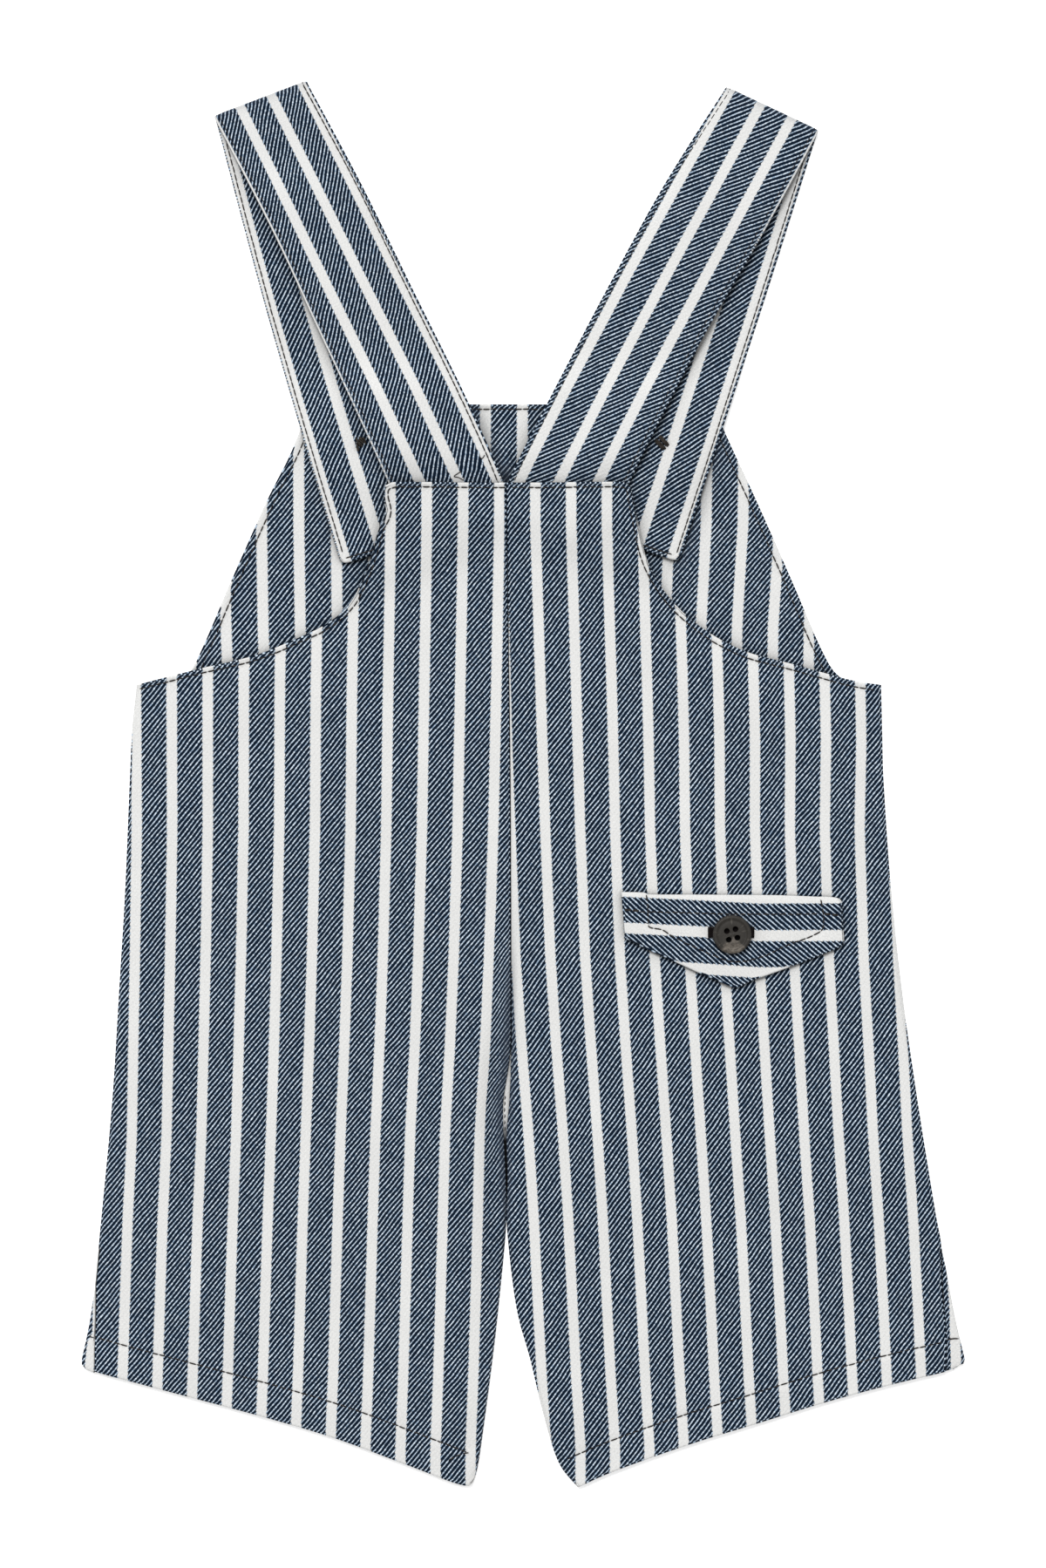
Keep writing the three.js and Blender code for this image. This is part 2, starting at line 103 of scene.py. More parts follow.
# Armholes of the back, from the side seam to the top edge.
TOP_EDGE = 114.0
ARMHOLES = {
    "left": [(-146.6, 37.6), (-124.6, 43.2), (-101.8, 48.7), (-85.3, 55.4), (-74.6, 60.7), (-65.2, 69.1),
             (-58.2, 84.3), (-54.6, 98.5), (-53.2, 109.5), (-52.2, 112.6)],
    "right": [(135.6, 37.2), (123.3, 39.2), (100.8, 45.4), (84.0, 50.0), (69.6, 57.6), (56.9, 68.5),
              (47.6, 82.5), (43.4, 98.0), (41.0, 110.0), (39.9, 113.0)],
}
# Bib, from its top edge to the underarm.
WAIST = 6
BIB = {
    "y": [144.0, 135.7, 124, 107, 77.4, 52, 41.5, 38.2],
    "left": [-80.4, -84.0, -88.9, -97.5, -110.7, -121.6, -127.5, -137],
    "right": [72.8, 75.4, 80.7, 88.6, 101.7, 112.6, 119.0, 127.5],
}
# Straps: left and right edge of the back stretch up to the fold, and of the front stretch down from it; the
# first white stripe of the back stretch and the distance to the next, both at the heights in STRAP_ROWS; and
# the stripes of the front stretch, from its left edge.
STRAP_ROWS = [266, 230.8, 191.2, 151.6, 125.2, 107]
STRAPS = {
    "strap_left": {
        "back": [((-48.6, 107), (-7.3, 107)), ((-51.3, 114.3), (-7.6, 114.3)),
                 ((-59.1, 131.8), (-22.6, 148.3)), ((-77.4, 171.4), (-42.1, 187.9)),
                 ((-95.4, 210.2), (-61.5, 227.5)), ((-116.6, 251.4), (-81.4, 264.8))],
        "front": [((-116.6, 251.4), (-81.4, 264.8)), ((-96.2, 174.7), (-59.2, 185.7)),
                  ((-69.1, 83.0), (-31.5, 94.1))],
        "stripe": [-112.0, -94.7, -75.6, -56.4, -44.2, -35.9],
        "pitch": [13.85, 14.0, 14.3, 14.75, 14.75, 14.8],
        "inner_stripes": (2.05, 16.3, 29.7),
    },
    "strap_right": {
        "back": [((-5.6, 107), (37.4, 107)), ((-5.6, 114.8), (40.1, 113.8)),
                 ((11.1, 148.3), (48.0, 130.2)), ((31.8, 187.9), (68.5, 169.8)),
                 ((53.6, 227.5), (91.4, 209.6)), ((75.9, 262.6), (111.2, 246.0))],
        "front": [((75.9, 262.6), (111.2, 246.0)), ((51.8, 186.6), (88.6, 174.7)),
                  ((22.1, 95.9), (58.9, 84.0))],
        "stripe": [80.0, 60.4, 38.4, 17.3, 3.8, -5.3],
        "pitch": [14.6, 14.85, 15.05, 14.95, 14.95, 15.0],
        "inner_stripes": (8.7, 22.0, 35.7),
    },
}
# Pocket flap: its top edge, and its lower edge with the point.
FLAP_TOP = [(36.9, -40.8), (45.8, -41.0), (47.4, -41.7), (66, -41.8), (95, -42.0), (111.5, -42.6),
            (113, -42.5), (118.6, -43.0), (120.4, -44.4)]
FLAP_POINT = [(38.4, -58.4), (47.0, -62.7), (57.5, -67.4), (65.7, -71.2), (73.1, -74.4), (79.6, -77.0),
              (82.6, -76.3), (86.6, -74.3), (93.2, -72.0), (101.1, -69.1), (112.4, -64.8), (120.1, -61.4),
              (121.3, -59.8)]
BUTTON = {"radius": 7.3, "thickness": 2.4, "hole": 1.05, "pitch": 2.35, "turn": 58}
FLAP_BUTTON = (78.8, -56.8)
BIB_BUTTONS = {"bib_button_left": (-61.5, 129.2), "bib_button_right": (52.3, 128.9)}
HILL = 24  # width of the rise of the bib round a button under it
STRAP_ARCH = 1.9  # how far the upper stretch of a strap lifts between the back and the fold
# Soft creases of the back: middle, direction in degrees, length, width and height of each.
CREASES = [
    (-17.5, -112, 88, 200, 7.5, 3.4),
    (9, -118, 98, 150, 8, 1.2),
    (112, 2, 74, 90, 15, 0.7),
    (-118, -4, 98, 110, 16, 0.6),
    (30, -128, 58, 90, 13, 0.6),
    (-46, -140, 112, 100, 14, 0.6),
    (-95, -150, 84, 70, 12, -0.5),
]

# Where the white stripes run: the innermost one of each piece and the distance to the next.
STRIPES = {
    "back_left": {
        "y": [99, 39.4, -16.7, -66, -99, -132, -165, -198, -225, -251],
        "x": [-9.1, -10.2, -11.4, -13.0, -14.5, -16.5, -17.3, -18.2, -19.0, -20.0],
        "pitch": [13.7, 13.66, 13.5, 13.41, 13.32, 13.17, 13.25, 13.27, 13.27, 13.27],
    },
    "back_right": {
        "y": [99, 39.4, 16.3, -16.7, -66, -99, -132, -165, -198, -225, -251],
        "x": [4.5, 6.4, 7.1, 8.25, 10.2, 12.4, 14.9, 17.0, 18.6, 20.0, 21.6],
        "pitch": [13.5, 13.45, 13.42, 13.22, 13.17, 13.13, 13.04, 13.05, 13.07, 13.05, 13.05],
    },
    "bib": {"x": -14.4, "y": [144, 99, 60, 30], "left": [14.15, 14.15, 14.05, 13.9],
            "right": [14.0, 13.95, 13.63, 13.6]},
    "flap": {"x": [38.4, 65.8, 88.9, 118.6], "y": [-54.4, -55.8, -57.4, -57.3],
             "pitch": [13.8, 13.9, 13.9, 13.9], "pitch_up": [13.8, 13.9, 14.3, 14.3]},
    "front_leg_left": {"y": [-190, -199, -208, -211, -216, -223],
                       "x": [-161.0, -161.2, -161.3, -163.1, -163.7, -164.4], "inner": -6.7, "count": 12},
    "front_leg_right": {"y": [-185, -194, -198, -206, -220], "x": [162.5, 162.9, 163.3, 163.4, 163.8],
                        "inner": 4.0, "count": 12},
}

# Where the left armhole's edge is drawn in, and the spot of painted shade on the bib between the straps.
DRAWN_IN = {"by": 2.2, "at": (-53.5, 102.5), "size": (5, 4.5)}
APEX = {"painted_shade": 0.85, "at": (-7.2, 115.5), "size": (3.0, 5)}

# Camera and light, in metres.
PHOTO = {"width": 0.396, "height": 0.59367, "centre_x": -0.000165}
CAMERA_HEIGHT = 1.5
FLOOR_GLOW = 0.5
KEY = {"at": (-1.4, 4.8, 8.0), "size": 4.2, "power": 700}
SKY = 0.46


# Curves and patches.

def ease(t):
    s = np.clip(t, 0, 1)
    return s * s * (3 - 2 * s)


def bell(d, width):
    return np.exp(-((d / width) ** 2))


def spot(place, x, y):
    """Fades from 1 at a place to nothing around it."""
    (at_x, at_y), (wide, high) = place["at"], place["size"]
    return np.exp(-((x - at_x) / wide) ** 2 - ((y - at_y) / high) ** 2)


def table_at(table, column, y):
    """Value of a column at height y; the rows of a table run downwards."""
    return np.interp(-np.asarray(y, float), -np.asarray(table["y"], float), table[column])


def curve(points, steps=24):
    """Smooth plane curve through points, as a dense polyline."""
    p = np.asarray(points, float)
    padded = np.vstack([p[0], p, p[-1]])
    t = np.linspace(0, 1, steps, endpoint=False)[:, None]
    spans = []
    for a, b, c, d in zip(padded, padded[1:], padded[2:], padded[3:]):
        v0 = (c - a) / 2
        v1 = (d - b) / 2
        spans.append((2 * b - 2 * c + v0 + v1) * t**3 + (-3 * b + 3 * c - 2 * v0 - v1) * t**2 + v0 * t + b)
    return np.vstack(spans + [p[-1:]])


def route(*stretches):
    return np.vstack([curve(points) for points in stretches])


def along(line, t):
    """Points at fractions t of a polyline's length."""
    steps = np.hypot(*np.diff(line, axis=0).T)
    length = np.concatenate([[0], np.cumsum(steps)])
    return np.stack([np.interp(np.asarray(t) * length[-1], length, line[:, k]) for k in (0, 1)], -1)


def line_length(line):
    return float(np.hypot(*np.diff(line, axis=0).T).sum())


def patch(bottom, top, left, right, u, v):
    """Fills four bounding lines with a grid of points: rows upwards, columns from left to right."""
    u, v = np.asarray(u)[None, :, None], np.asarray(v)[:, None, None]
    across = (1 - v) * along(bottom, u[0, :, 0])[None] + v * along(top, u[0, :, 0])[None]
    upward = (1 - u) * along(left, v[:, 0, 0])[:, None] + u * along(right, v[:, 0, 0])[:, None]
    corners = (1 - v) * ((1 - u) * bottom[0] + u * bottom[-1]) + v * ((1 - u) * top[0] + u * top[-1])
    return across + upward - corners


def spaced(length, step, start=(), end=()):
    """Fractions of a length: fine distances from each end, and even steps between them."""
    low = np.array([0, *start], float)
    high = length - np.array([0, *end], float)[::-1]
    count = max(2, int(round((high[0] - low[-1]) / step)))
    inner = np.linspace(low[-1], high[0], count + 1)[1:-1]
    return np.concatenate([low, inner, high]) / length


def measure(line, x, y, beyond=0):
    """Distance from each point to a polyline, and how far along it the nearest place is."""
    dense = along(line, np.linspace(0, 1, int(line_length(line) / 1.5) + 2))
    if beyond:
        first = dense[0] + (dense[0] - dense[1]) / np.hypot(*(dense[0] - dense[1])) * beyond
        last = dense[-1] + (dense[-1] - dense[-2]) / np.hypot(*(dense[-1] - dense[-2])) * beyond
        dense = np.vstack([first, dense, last])
    start, step = dense[:-1], np.diff(dense, axis=0)
    size = np.hypot(*step.T)
    before = np.concatenate([[0], np.cumsum(size)[:-1]]) - beyond
    flat = np.stack([np.ravel(x), np.ravel(y)], -1)
    best, place = np.full(len(flat), 1e9), np.zeros(len(flat))
    for k in range(0, len(start), 64):
        a, d, n = start[k:k + 64], step[k:k + 64], size[k:k + 64]
        off = flat[:, None] - a[None]
        t = np.clip((off * d[None]).sum(-1) / n**2, 0, 1)
        gap = np.linalg.norm(off - t[..., None] * d[None], axis=-1)
        near = gap.argmin(1)
        rows = np.arange(len(flat))
        better = gap[rows, near] < best
        best = np.where(better, gap[rows, near], best)
        place = np.where(better, before[k + near] + t[rows, near] * n[near], place)
    return best.reshape(np.shape(x)), place.reshape(np.shape(x))


def distance_to(line, x, y):
    return measure(line, x, y)[0]


def offset_line(line, distance):
    """The line moved to its left by a distance."""
    even = along(line, np.linspace(0, 1, int(line_length(line) / 2) + 2))
    tangent = np.gradient(even, axis=0)
    tangent /= np.hypot(*tangent.T)[:, None]
    return even + distance * np.stack([-tangent[:, 1], tangent[:, 0]], -1)


def ripples(x, y, size, seed, count=7):
    """A smooth irregular field between about -1 and 1, with waves of about the given size."""
    rng = np.random.default_rng(seed)
    total = np.zeros(np.shape(x))
    for _ in range(count):
        turn, phase = rng.uniform(0, 2 * np.pi, 2)
        length = size * rng.uniform(0.7, 1.6)
        total += np.sin((x * np.cos(turn) + y * np.sin(turn)) * 2 * np.pi / length + phase)
    return total / math.sqrt(2 * count)


# Heights of the layers, as in the solids.

def front_under(x, y):
    hills = [1 - ease((np.hypot(x - bx, y - by) - BUTTON["radius"] - 2) / HILL)
             for bx, by in BIB_BUTTONS.values()]
    return (BUTTON["thickness"] + SEAM) * np.maximum(*hills)


def over_strap(x, y):
    covers = []
    for strap in STRAPS.values():
        fold, end = np.array(strap["front"][0]), np.array(strap["front"][-1])
        start, stop = fold.mean(0), end.mean(0)
        length = np.hypot(*(stop - start))
        ahead = (stop - start) / length
        half = np.hypot(*(end[1] - end[0])) / 2
        beside = np.abs((x - start[0]) * ahead[1] - (y - start[1]) * ahead[0]) - half
        beyond = (x - start[0]) * ahead[0] + (y - start[1]) * ahead[1] - length
        covers.append(1 - ease((np.maximum(beside, beyond) - 3) / 14))
    return np.maximum(*covers)


def on_bib(y):
    return 1 - ease((y - BIB["y"][0] - 3) / 16)


def front_top(x, y):
    return front_under(x, y) + PANEL


def strap_front_under(x, y):
    return on_bib(y) * (front_top(x, y) + LAYER)


def strap_back_under(x, y):
    """The upper stretch of a strap; between the fold and the back's top edge it arches up a little."""
    arch = STRAP_ARCH * ease((y - 113) / 12) * (1 - ease((y - 218) / 26))
    return strap_front_under(x, y) + over_strap(x, y) * (BAND + 2 * SEAM) + arch


def crease(row, x, y):
    at_x, at_y, degrees, length, width, height = row
    turn = math.radians(degrees)
    ahead = (x - at_x) * math.cos(turn) + (y - at_y) * math.sin(turn)
    off = (y - at_y) * math.cos(turn) - (x - at_x) * math.sin(turn)
    fade = 1 - ease(np.abs(ahead) / (length / 2))
    return height * bell(off, width) * fade


def rise(x, y):
    from_side = np.minimum(x - table_at(SIDES, "left", y), table_at(SIDES, "right", y) - x)
    left, right = table_at(MIDDLE, "left", y), table_at(MIDDLE, "right", y)
    from_inner = np.where(x < left + SEAM / 2, left - x, x - right)
    in_legs = ease((CROTCH + 14 - y) / 26)
    inner_roll = 1 - in_legs + in_legs * ease(from_inner / ROLL)
    hollow = ease(from_side / ROLL) * inner_roll * (1 - ease((y - 25) / 55))
    creases = sum(crease(row, x, y) for row in CREASES)
    return np.maximum(0, hollow * (PUFF + creases))


def back_under(x, y):
    ends = (1 - ease((103 - y) / 18)) * (BAND + LAYER + SEAM)
    over = over_strap(x, y)
    return front_top(x, y) + SEAM + over * (BAND + 3 * SEAM) + ends + rise(x, y) * (1 - over)


# Meshes.

def add_object(name, data):
    made = bpy.data.objects.new(name, data)
    bpy.context.scene.collection.objects.link(made)
    return made


def make_object(name, vertices, faces, material, uv=None, fold=None):
    mesh = bpy.data.meshes.new(name)
    mesh.from_pydata((np.asarray(vertices) * MM).tolist(), [], faces)
    if uv is not None:
        layer = mesh.uv_layers.new(name="grain")
        layer.data.foreach_set("uv", np.asarray(uv, float).ravel())
    # fold: painted shade for each vertex, kept as the "fold" attribute by which the twill material darkens
    # its colour.
    if fold is not None:
        mesh.attributes.new("fold", "FLOAT", "POINT").data.foreach_set("value", np.asarray(fold, np.float32))
    mesh.polygons.foreach_set("use_smooth", [True] * len(mesh.polygons))
    mesh.materials.append(material)
    mesh.update()
    piece = add_object(name, mesh)
    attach(piece, "root")
    return piece


def cloth(name, vertices, faces, uv, fold):
    piece = make_object(name + "_cloth", vertices, faces, TWILL, uv, fold)
    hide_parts(name)
    return piece


def border(rows, columns):
    """Grid positions round the edge, anticlockwise from the first corner."""
    bottom = [(0, i) for i in range(columns)]
    right = [(j, columns - 1) for j in range(1, rows)]
    top = [(rows - 1, i) for i in range(columns - 2, -1, -1)]
    left = [(j, 0) for j in range(rows - 2, 0, -1)]
    return bottom + right + top + left


def shell(outer, inner, uv_outer, uv_inner, rim_steps=5):
    """Closed thin wall between two grids of points, its rim rounded outwards. Returns vertices, faces, uv."""
    rows, columns, _ = outer.shape
    ring = border(rows, columns)
    index = np.arange(rows * columns).reshape(rows, columns)
    at = tuple(np.array(ring).T)
    middle = (outer[at] + inner[at]) / 2
    half = (outer[at] - inner[at]) / 2
    tangent = np.roll(middle, -1, 0) - np.roll(middle, 1, 0)
    out = np.cross(tangent, half)
    out /= np.maximum(np.linalg.norm(out, axis=1, keepdims=True), 1e-9)
    reach = np.linalg.norm(half, axis=1, keepdims=True)
    outer, inner = outer.copy(), inner.copy()
    outer[at] -= out * reach
    inner[at] -= out * reach
    middle = middle - out * reach
    vertices = [outer.reshape(-1, 3), inner.reshape(-1, 3)]
    angles = np.linspace(0, math.pi, rim_steps + 1)[1:-1]
    for angle in angles:
        vertices.append(middle + half * math.cos(angle) + out * reach * math.sin(angle))
    flat_outer, flat_inner = uv_outer.reshape(-1, 2), uv_inner.reshape(-1, 2)
    total = rows * columns
    front = np.stack([index[:-1, :-1], index[:-1, 1:], index[1:, 1:], index[1:, :-1]], -1).reshape(-1, 4)
    back = front[:, [0, 3, 2, 1]]
    faces, uv = [front, total + back], [flat_outer[front], flat_inner[back]]
    grid = index[at]
    rim = [2 * total + k * len(ring) + np.arange(len(ring)) for k in range(len(angles))]
    loops = [grid] + rim + [total + grid]
    beside = np.roll(grid, -1)
    for k, (high, low) in enumerate(zip(loops, loops[1:])):
        side = flat_outer if k < len(loops) // 2 else flat_inner
        faces.append(np.stack([high, low, np.roll(low, -1), np.roll(high, -1)], -1))
        uv.append(side[np.stack([grid, grid, beside, beside], -1)])
    faces = [tuple(face) for face in np.vstack(faces).tolist()]
    return np.vstack(vertices), faces, np.concatenate([part.reshape(-1, 2) for part in uv])


def panel(name, plan, upper, lower, grain, under_grain, shade):
    """A cloth piece between two heights over its plan; shade gives its painted shade, the "fold" values, from
    its vertices.
    """
    skins = np.dstack([plan, upper]), np.dstack([plan, lower])
    vertices, faces, uv = shell(*skins, grain, under_grain)
    return cloth(name, vertices, faces, uv, shade(vertices))


class Surface:
    """Heights of a piece seen from above, for what is sewn on it."""

    def __init__(self, piece):
        mesh = piece.data
        self.tree = BVHTree.FromPolygons([v.co for v in mesh.vertices], [p.vertices for p in mesh.polygons])

    def height(self, x, y):
        hit = self.tree.ray_cast(Vector((x * MM, y * MM, 0.1)), Vector((0, 0, -1)))[0]
        return hit.z / MM if hit is not None else None


def between_rings(rings, sides):
    """Faces between each ring of points and the next."""
    faces = []
    for k in range(rings - 1):
        for s in range(sides):
            t = (s + 1) % sides
            faces.append((k * sides + s, k * sides + t, (k + 1) * sides + t, (k + 1) * sides + s))
    return faces


def tube(path, radius, sides=6, taper=0.35):
    """Vertices and faces of a thread along a path, rounded off at both ends."""
    path = np.asarray(path, float)
    tangent = np.gradient(path, axis=0)
    tangent /= np.maximum(np.linalg.norm(tangent, axis=1, keepdims=True), 1e-9)
    up = np.array([0, 0, 1.0])
    vertices = []
    count = len(path)
    for k in range(count):
        side = np.cross(tangent[k], up)
        side /= max(np.linalg.norm(side), 1e-6)
        lift = np.cross(side, tangent[k])
        size = radius * (taper if k in (0, count - 1) else 1)
        for s in range(sides):
            angle = 2 * math.pi * s / sides
            vertices.append(path[k] + size * (math.cos(angle) * side + math.sin(angle) * lift))
    faces = between_rings(count, sides)
    faces.append(tuple(range(sides))[::-1])
    faces.append(tuple((count - 1) * sides + s for s in range(sides)))
    return vertices, faces


def threads(name, paths, radius, material, sides=6, taper=0.35):
    """One piece from many thread paths."""
    vertices, faces = [], []
    for path in paths:
        part, part_faces = tube(path, radius, sides, taper)
        faces += [tuple(len(vertices) + i for i in face) for face in part_faces]
        vertices += part
    piece = make_object(name, np.array(vertices), faces, material)
    return piece


def stitch_paths(line, seed, lift=0.07, sink=0.07):
    """Short raised threads along a line of points in space, a little uneven in length and direction."""
    rng = np.random.default_rng(seed)
    line = np.asarray(line, float)
    steps = np.linalg.norm(np.diff(line, axis=0), axis=1)
    length = np.concatenate([[0], np.cumsum(steps)])
    paths = []
    at = rng.uniform(0, 1)
    while at + STITCH["length"] < length[-1]:
        size = STITCH["length"] * rng.uniform(0.9, 1.08)
        s = np.linspace(at, min(at + size, length[-1]), 6)
        p = np.stack([np.interp(s, length, line[:, k]) for k in range(3)], -1)
        arch = 1 - (2 * np.linspace(0, 1, 6) - 1) ** 4
        p[:, 2] += lift * arch - sink * (1 - arch)
        p[:, :2] += rng.normal(0, 0.035, (1, 2))
        paths.append(p)
        at += size + STITCH["gap"] * rng.uniform(0.8, 1.2)
    return paths


def lifted(surface, points, lift):
    """Points on a surface, lifted off it a little."""
    return [(x, y, surface.height(x, y) + lift) for x, y in points]


def on_surface(surface, line):
    """A plane line laid on a surface."""
    even = along(np.asarray(line, float), np.linspace(0, 1, max(3, int(line_length(np.asarray(line)) / 0.8))))
    points = [(x, y, surface.height(x, y)) for x, y in even]
    return np.array([p for p in points if p[2] is not None])


# Materials.

class Nodes:
    """A material, with short calls for its shader nodes."""

    def __init__(self, name):
        self.material = bpy.data.materials.new(name)
        self.material.use_nodes = True
        self.tree = self.material.node_tree

    def give(self, sockets, values):
        for key, value in values.items():
            if isinstance(value, bpy.types.NodeSocket):
                self.tree.links.new(value, sockets[key])
            else:
                sockets[key].default_value = value

    def add(self, kind, values, output=0, **settings):
        made = self.tree.nodes.new("ShaderNode" + kind)
        for key, value in settings.items():
            setattr(made, key, value)
        self.give(made.inputs, values)
        return made.outputs[output]

    def place(self):
        return self.add("TexCoord", {}, "Object")

    def xy(self, vector):
        made = self.tree.nodes.new("ShaderNodeSeparateXYZ")
        self.give(made.inputs, {0: vector})
        return made.outputs[0], made.outputs[1]

    def math(self, operation, *values):
        return self.add("Math", dict(enumerate(values)), operation=operation)

    def mul(self, a, b):
        return self.math("MULTIPLY", a, b)

    def fit(self, value, scale, shift):
        return self.math("MULTIPLY_ADD", value, scale, shift)

    def mix(self, factor, a, b):
        return self.add("Mix", {0: factor, 6: a, 7: b}, 2, data_type="RGBA")

    def noise(self, vector, scale, detail=2.0, roughness=0.5):
        values = {"Vector": vector, "Scale": scale, "Detail": detail, "Roughness": roughness}
        return self.add("TexNoise", values, "Fac")

    def smooth(self, value, low, high):
        values = {"Value": value, "From Min": low, "From Max": high}
        return self.add("MapRange", values, interpolation_type="SMOOTHSTEP")

    def bump(self, height, strength, distance):
        return self.add("Bump", {"Height": height, "Strength": strength, "Distance": distance})

    def finish(self, values):
        self.give(self.tree.nodes["Principled BSDF"].inputs, values)
        return self.material


def linear(red, green, blue):
    """Linear colour from the 0 to 255 values that a picture shows."""
    channels = [c / 255 for c in (red, green, blue)]
    return tuple(c / 12.92 if c <= 0.04045 else ((c + 0.055) / 1.055) ** 2.4 for c in channels) + (1,)


def twill_material():
    """Navy and pale blue twill lines between off-white stripes, laid out by the grain map in millimetres."""
    m = Nodes("striped_twill")
    grain = m.add("UVMap", {}, uv_map="grain")
    across, lengthwise = m.xy(grain)
    lean = math.radians(TWILL_ANGLE)

    # Position across the twill lines, in lines, with a slow wander, and along them, in millimetres.
    wander = m.fit(m.noise(grain, 0.09, 1.0), 0.7, -0.35)
    fine_wander = m.fit(m.noise(grain, 0.6, 1.0), 0.12, -0.06)
    over = m.mul(across, math.sin(lean) / TWILL_PITCH)
    phase = m.fit(lengthwise, -math.cos(lean) / TWILL_PITCH, over)
    phase = m.math("ADD", phase, m.math("ADD", wander, fine_wander))
    run = m.fit(across, math.cos(lean), m.mul(lengthwise, math.sin(lean)))

    # Light yarn floats: a line profile, broken into beads along each line.
    wave = m.math("COSINE", m.mul(phase, 2 * math.pi))
    bead_place = m.add("CombineXYZ", {0: m.mul(run, 1.15), 1: m.mul(m.math("ROUND", phase), 7.31)})
    bead = m.smooth(m.noise(bead_place, 1.0, 1.0), 0.3, 0.7)
    thick = m.fit(bead, 0.4, -0.2)
    fray = m.fit(m.noise(grain, 2.6, 2.0), 0.26, -0.13)
    line = m.smooth(m.math("ADD", wave, m.math("ADD", thick, fray)), 0.26, 1.08)

    # Distance from the nearest stripe centre; the stripes' edges step from one twill line to the next.
    turns = m.math("DIVIDE", across, STRIPE)
    off = m.math("ABSOLUTE", m.math("SUBTRACT", turns, m.math("ROUND", turns)))
    ragged = m.fit(m.noise(grain, 1.3, 2.0), 0.3, -0.15)
    from_centre = m.math("SUBTRACT", m.mul(off, STRIPE), m.fit(wave, -0.17, ragged))
    white = m.smooth(from_centre, STRIPE_HALF + 0.14, STRIPE_HALF - 0.14)

    # Colours with a little change from yarn to yarn and over the cloth.
    tone = m.smooth(m.noise(bead_place, 1.7, 1.0), 0.28, 0.72)
    pale = m.mix(tone, linear(148, 171, 194), linear(228, 241, 252))
    dark = m.mix(m.noise(grain, 0.35, 2.0), linear(2, 13, 29), linear(11, 31, 51))
    fleck = m.smooth(m.noise(grain, 1.7, 3.0, 0.7), 0.3, 0.7)
    off_white = m.mix(fleck, linear(214, 214, 213), linear(234, 234, 232))
    colour = m.mix(white, m.mix(line, dark, pale), off_white)

    # Wear, and painted shade: the colour is darkened where the cloth is close to other cloth (ambient
    # occlusion), and by the "fold" attribute, which also turns it towards a flat navy and, at its strongest,
    # nearly to black.
    wear_and_painted_shade = m.fit(m.noise(grain, 0.03, 3.0), 0.14, 0.93)
    open_to_light = m.add("AmbientOcclusion", {"Distance": 0.007}, "AO", samples=4)
    shade = m.fit(m.math("POWER", open_to_light, 1.3), 0.76, 0.24)
    painted_shade = m.add("Attribute", {}, "Fac", attribute_name="fold")
    colour_with_painted_shade = m.mix(m.mul(painted_shade, 0.9), colour, linear(54, 64, 80))
    painted_dimming = m.fit(m.math("POWER", painted_shade, 3.0), -0.96, 1.0)
    wear_and_painted_shade = m.mul(wear_and_painted_shade, m.mul(shade, painted_dimming))
    worn_colour_with_painted_shade = m.add("VectorMath", {0: colour_with_painted_shade, "Scale": wear_and_painted_shade}, operation="SCALE")

    # Relief: raised lines, faint inside the white stripes, over fine fibres.
    raised = m.mul(wave, m.fit(white, -0.55, 1.0))
    height = m.fit(raised, 0.5, m.noise(grain, 5.0, 3.0, 0.7))
    return m.finish({"Base Color": worn_colour_with_painted_shade, "Normal": m.bump(height, 0.55, 0.00016),
                     "Roughness": m.fit(line, 0.08, 0.84), "Specular IOR Level": 0.08,
                     "Sheen Weight": 0.03, "Sheen Roughness": 0.5})


def thread_material(name, low, high):
    """Twisted sewing thread."""
    m = Nodes(name)
    place = m.place()
    colour = m.mix(m.noise(place, 900.0, 2.0), linear(*low), linear(*high))
    values = {"Vector": place, "Scale": 1500.0, "Distortion": 2.0}
    twist = m.add("TexWave", values, "Fac", bands_direction="DIAGONAL")
    return m.finish({"Base Color": colour, "Normal": m.bump(twist, 0.5, 0.00008), "Roughness": 0.8,
                     "Specular IOR Level": 0.15})


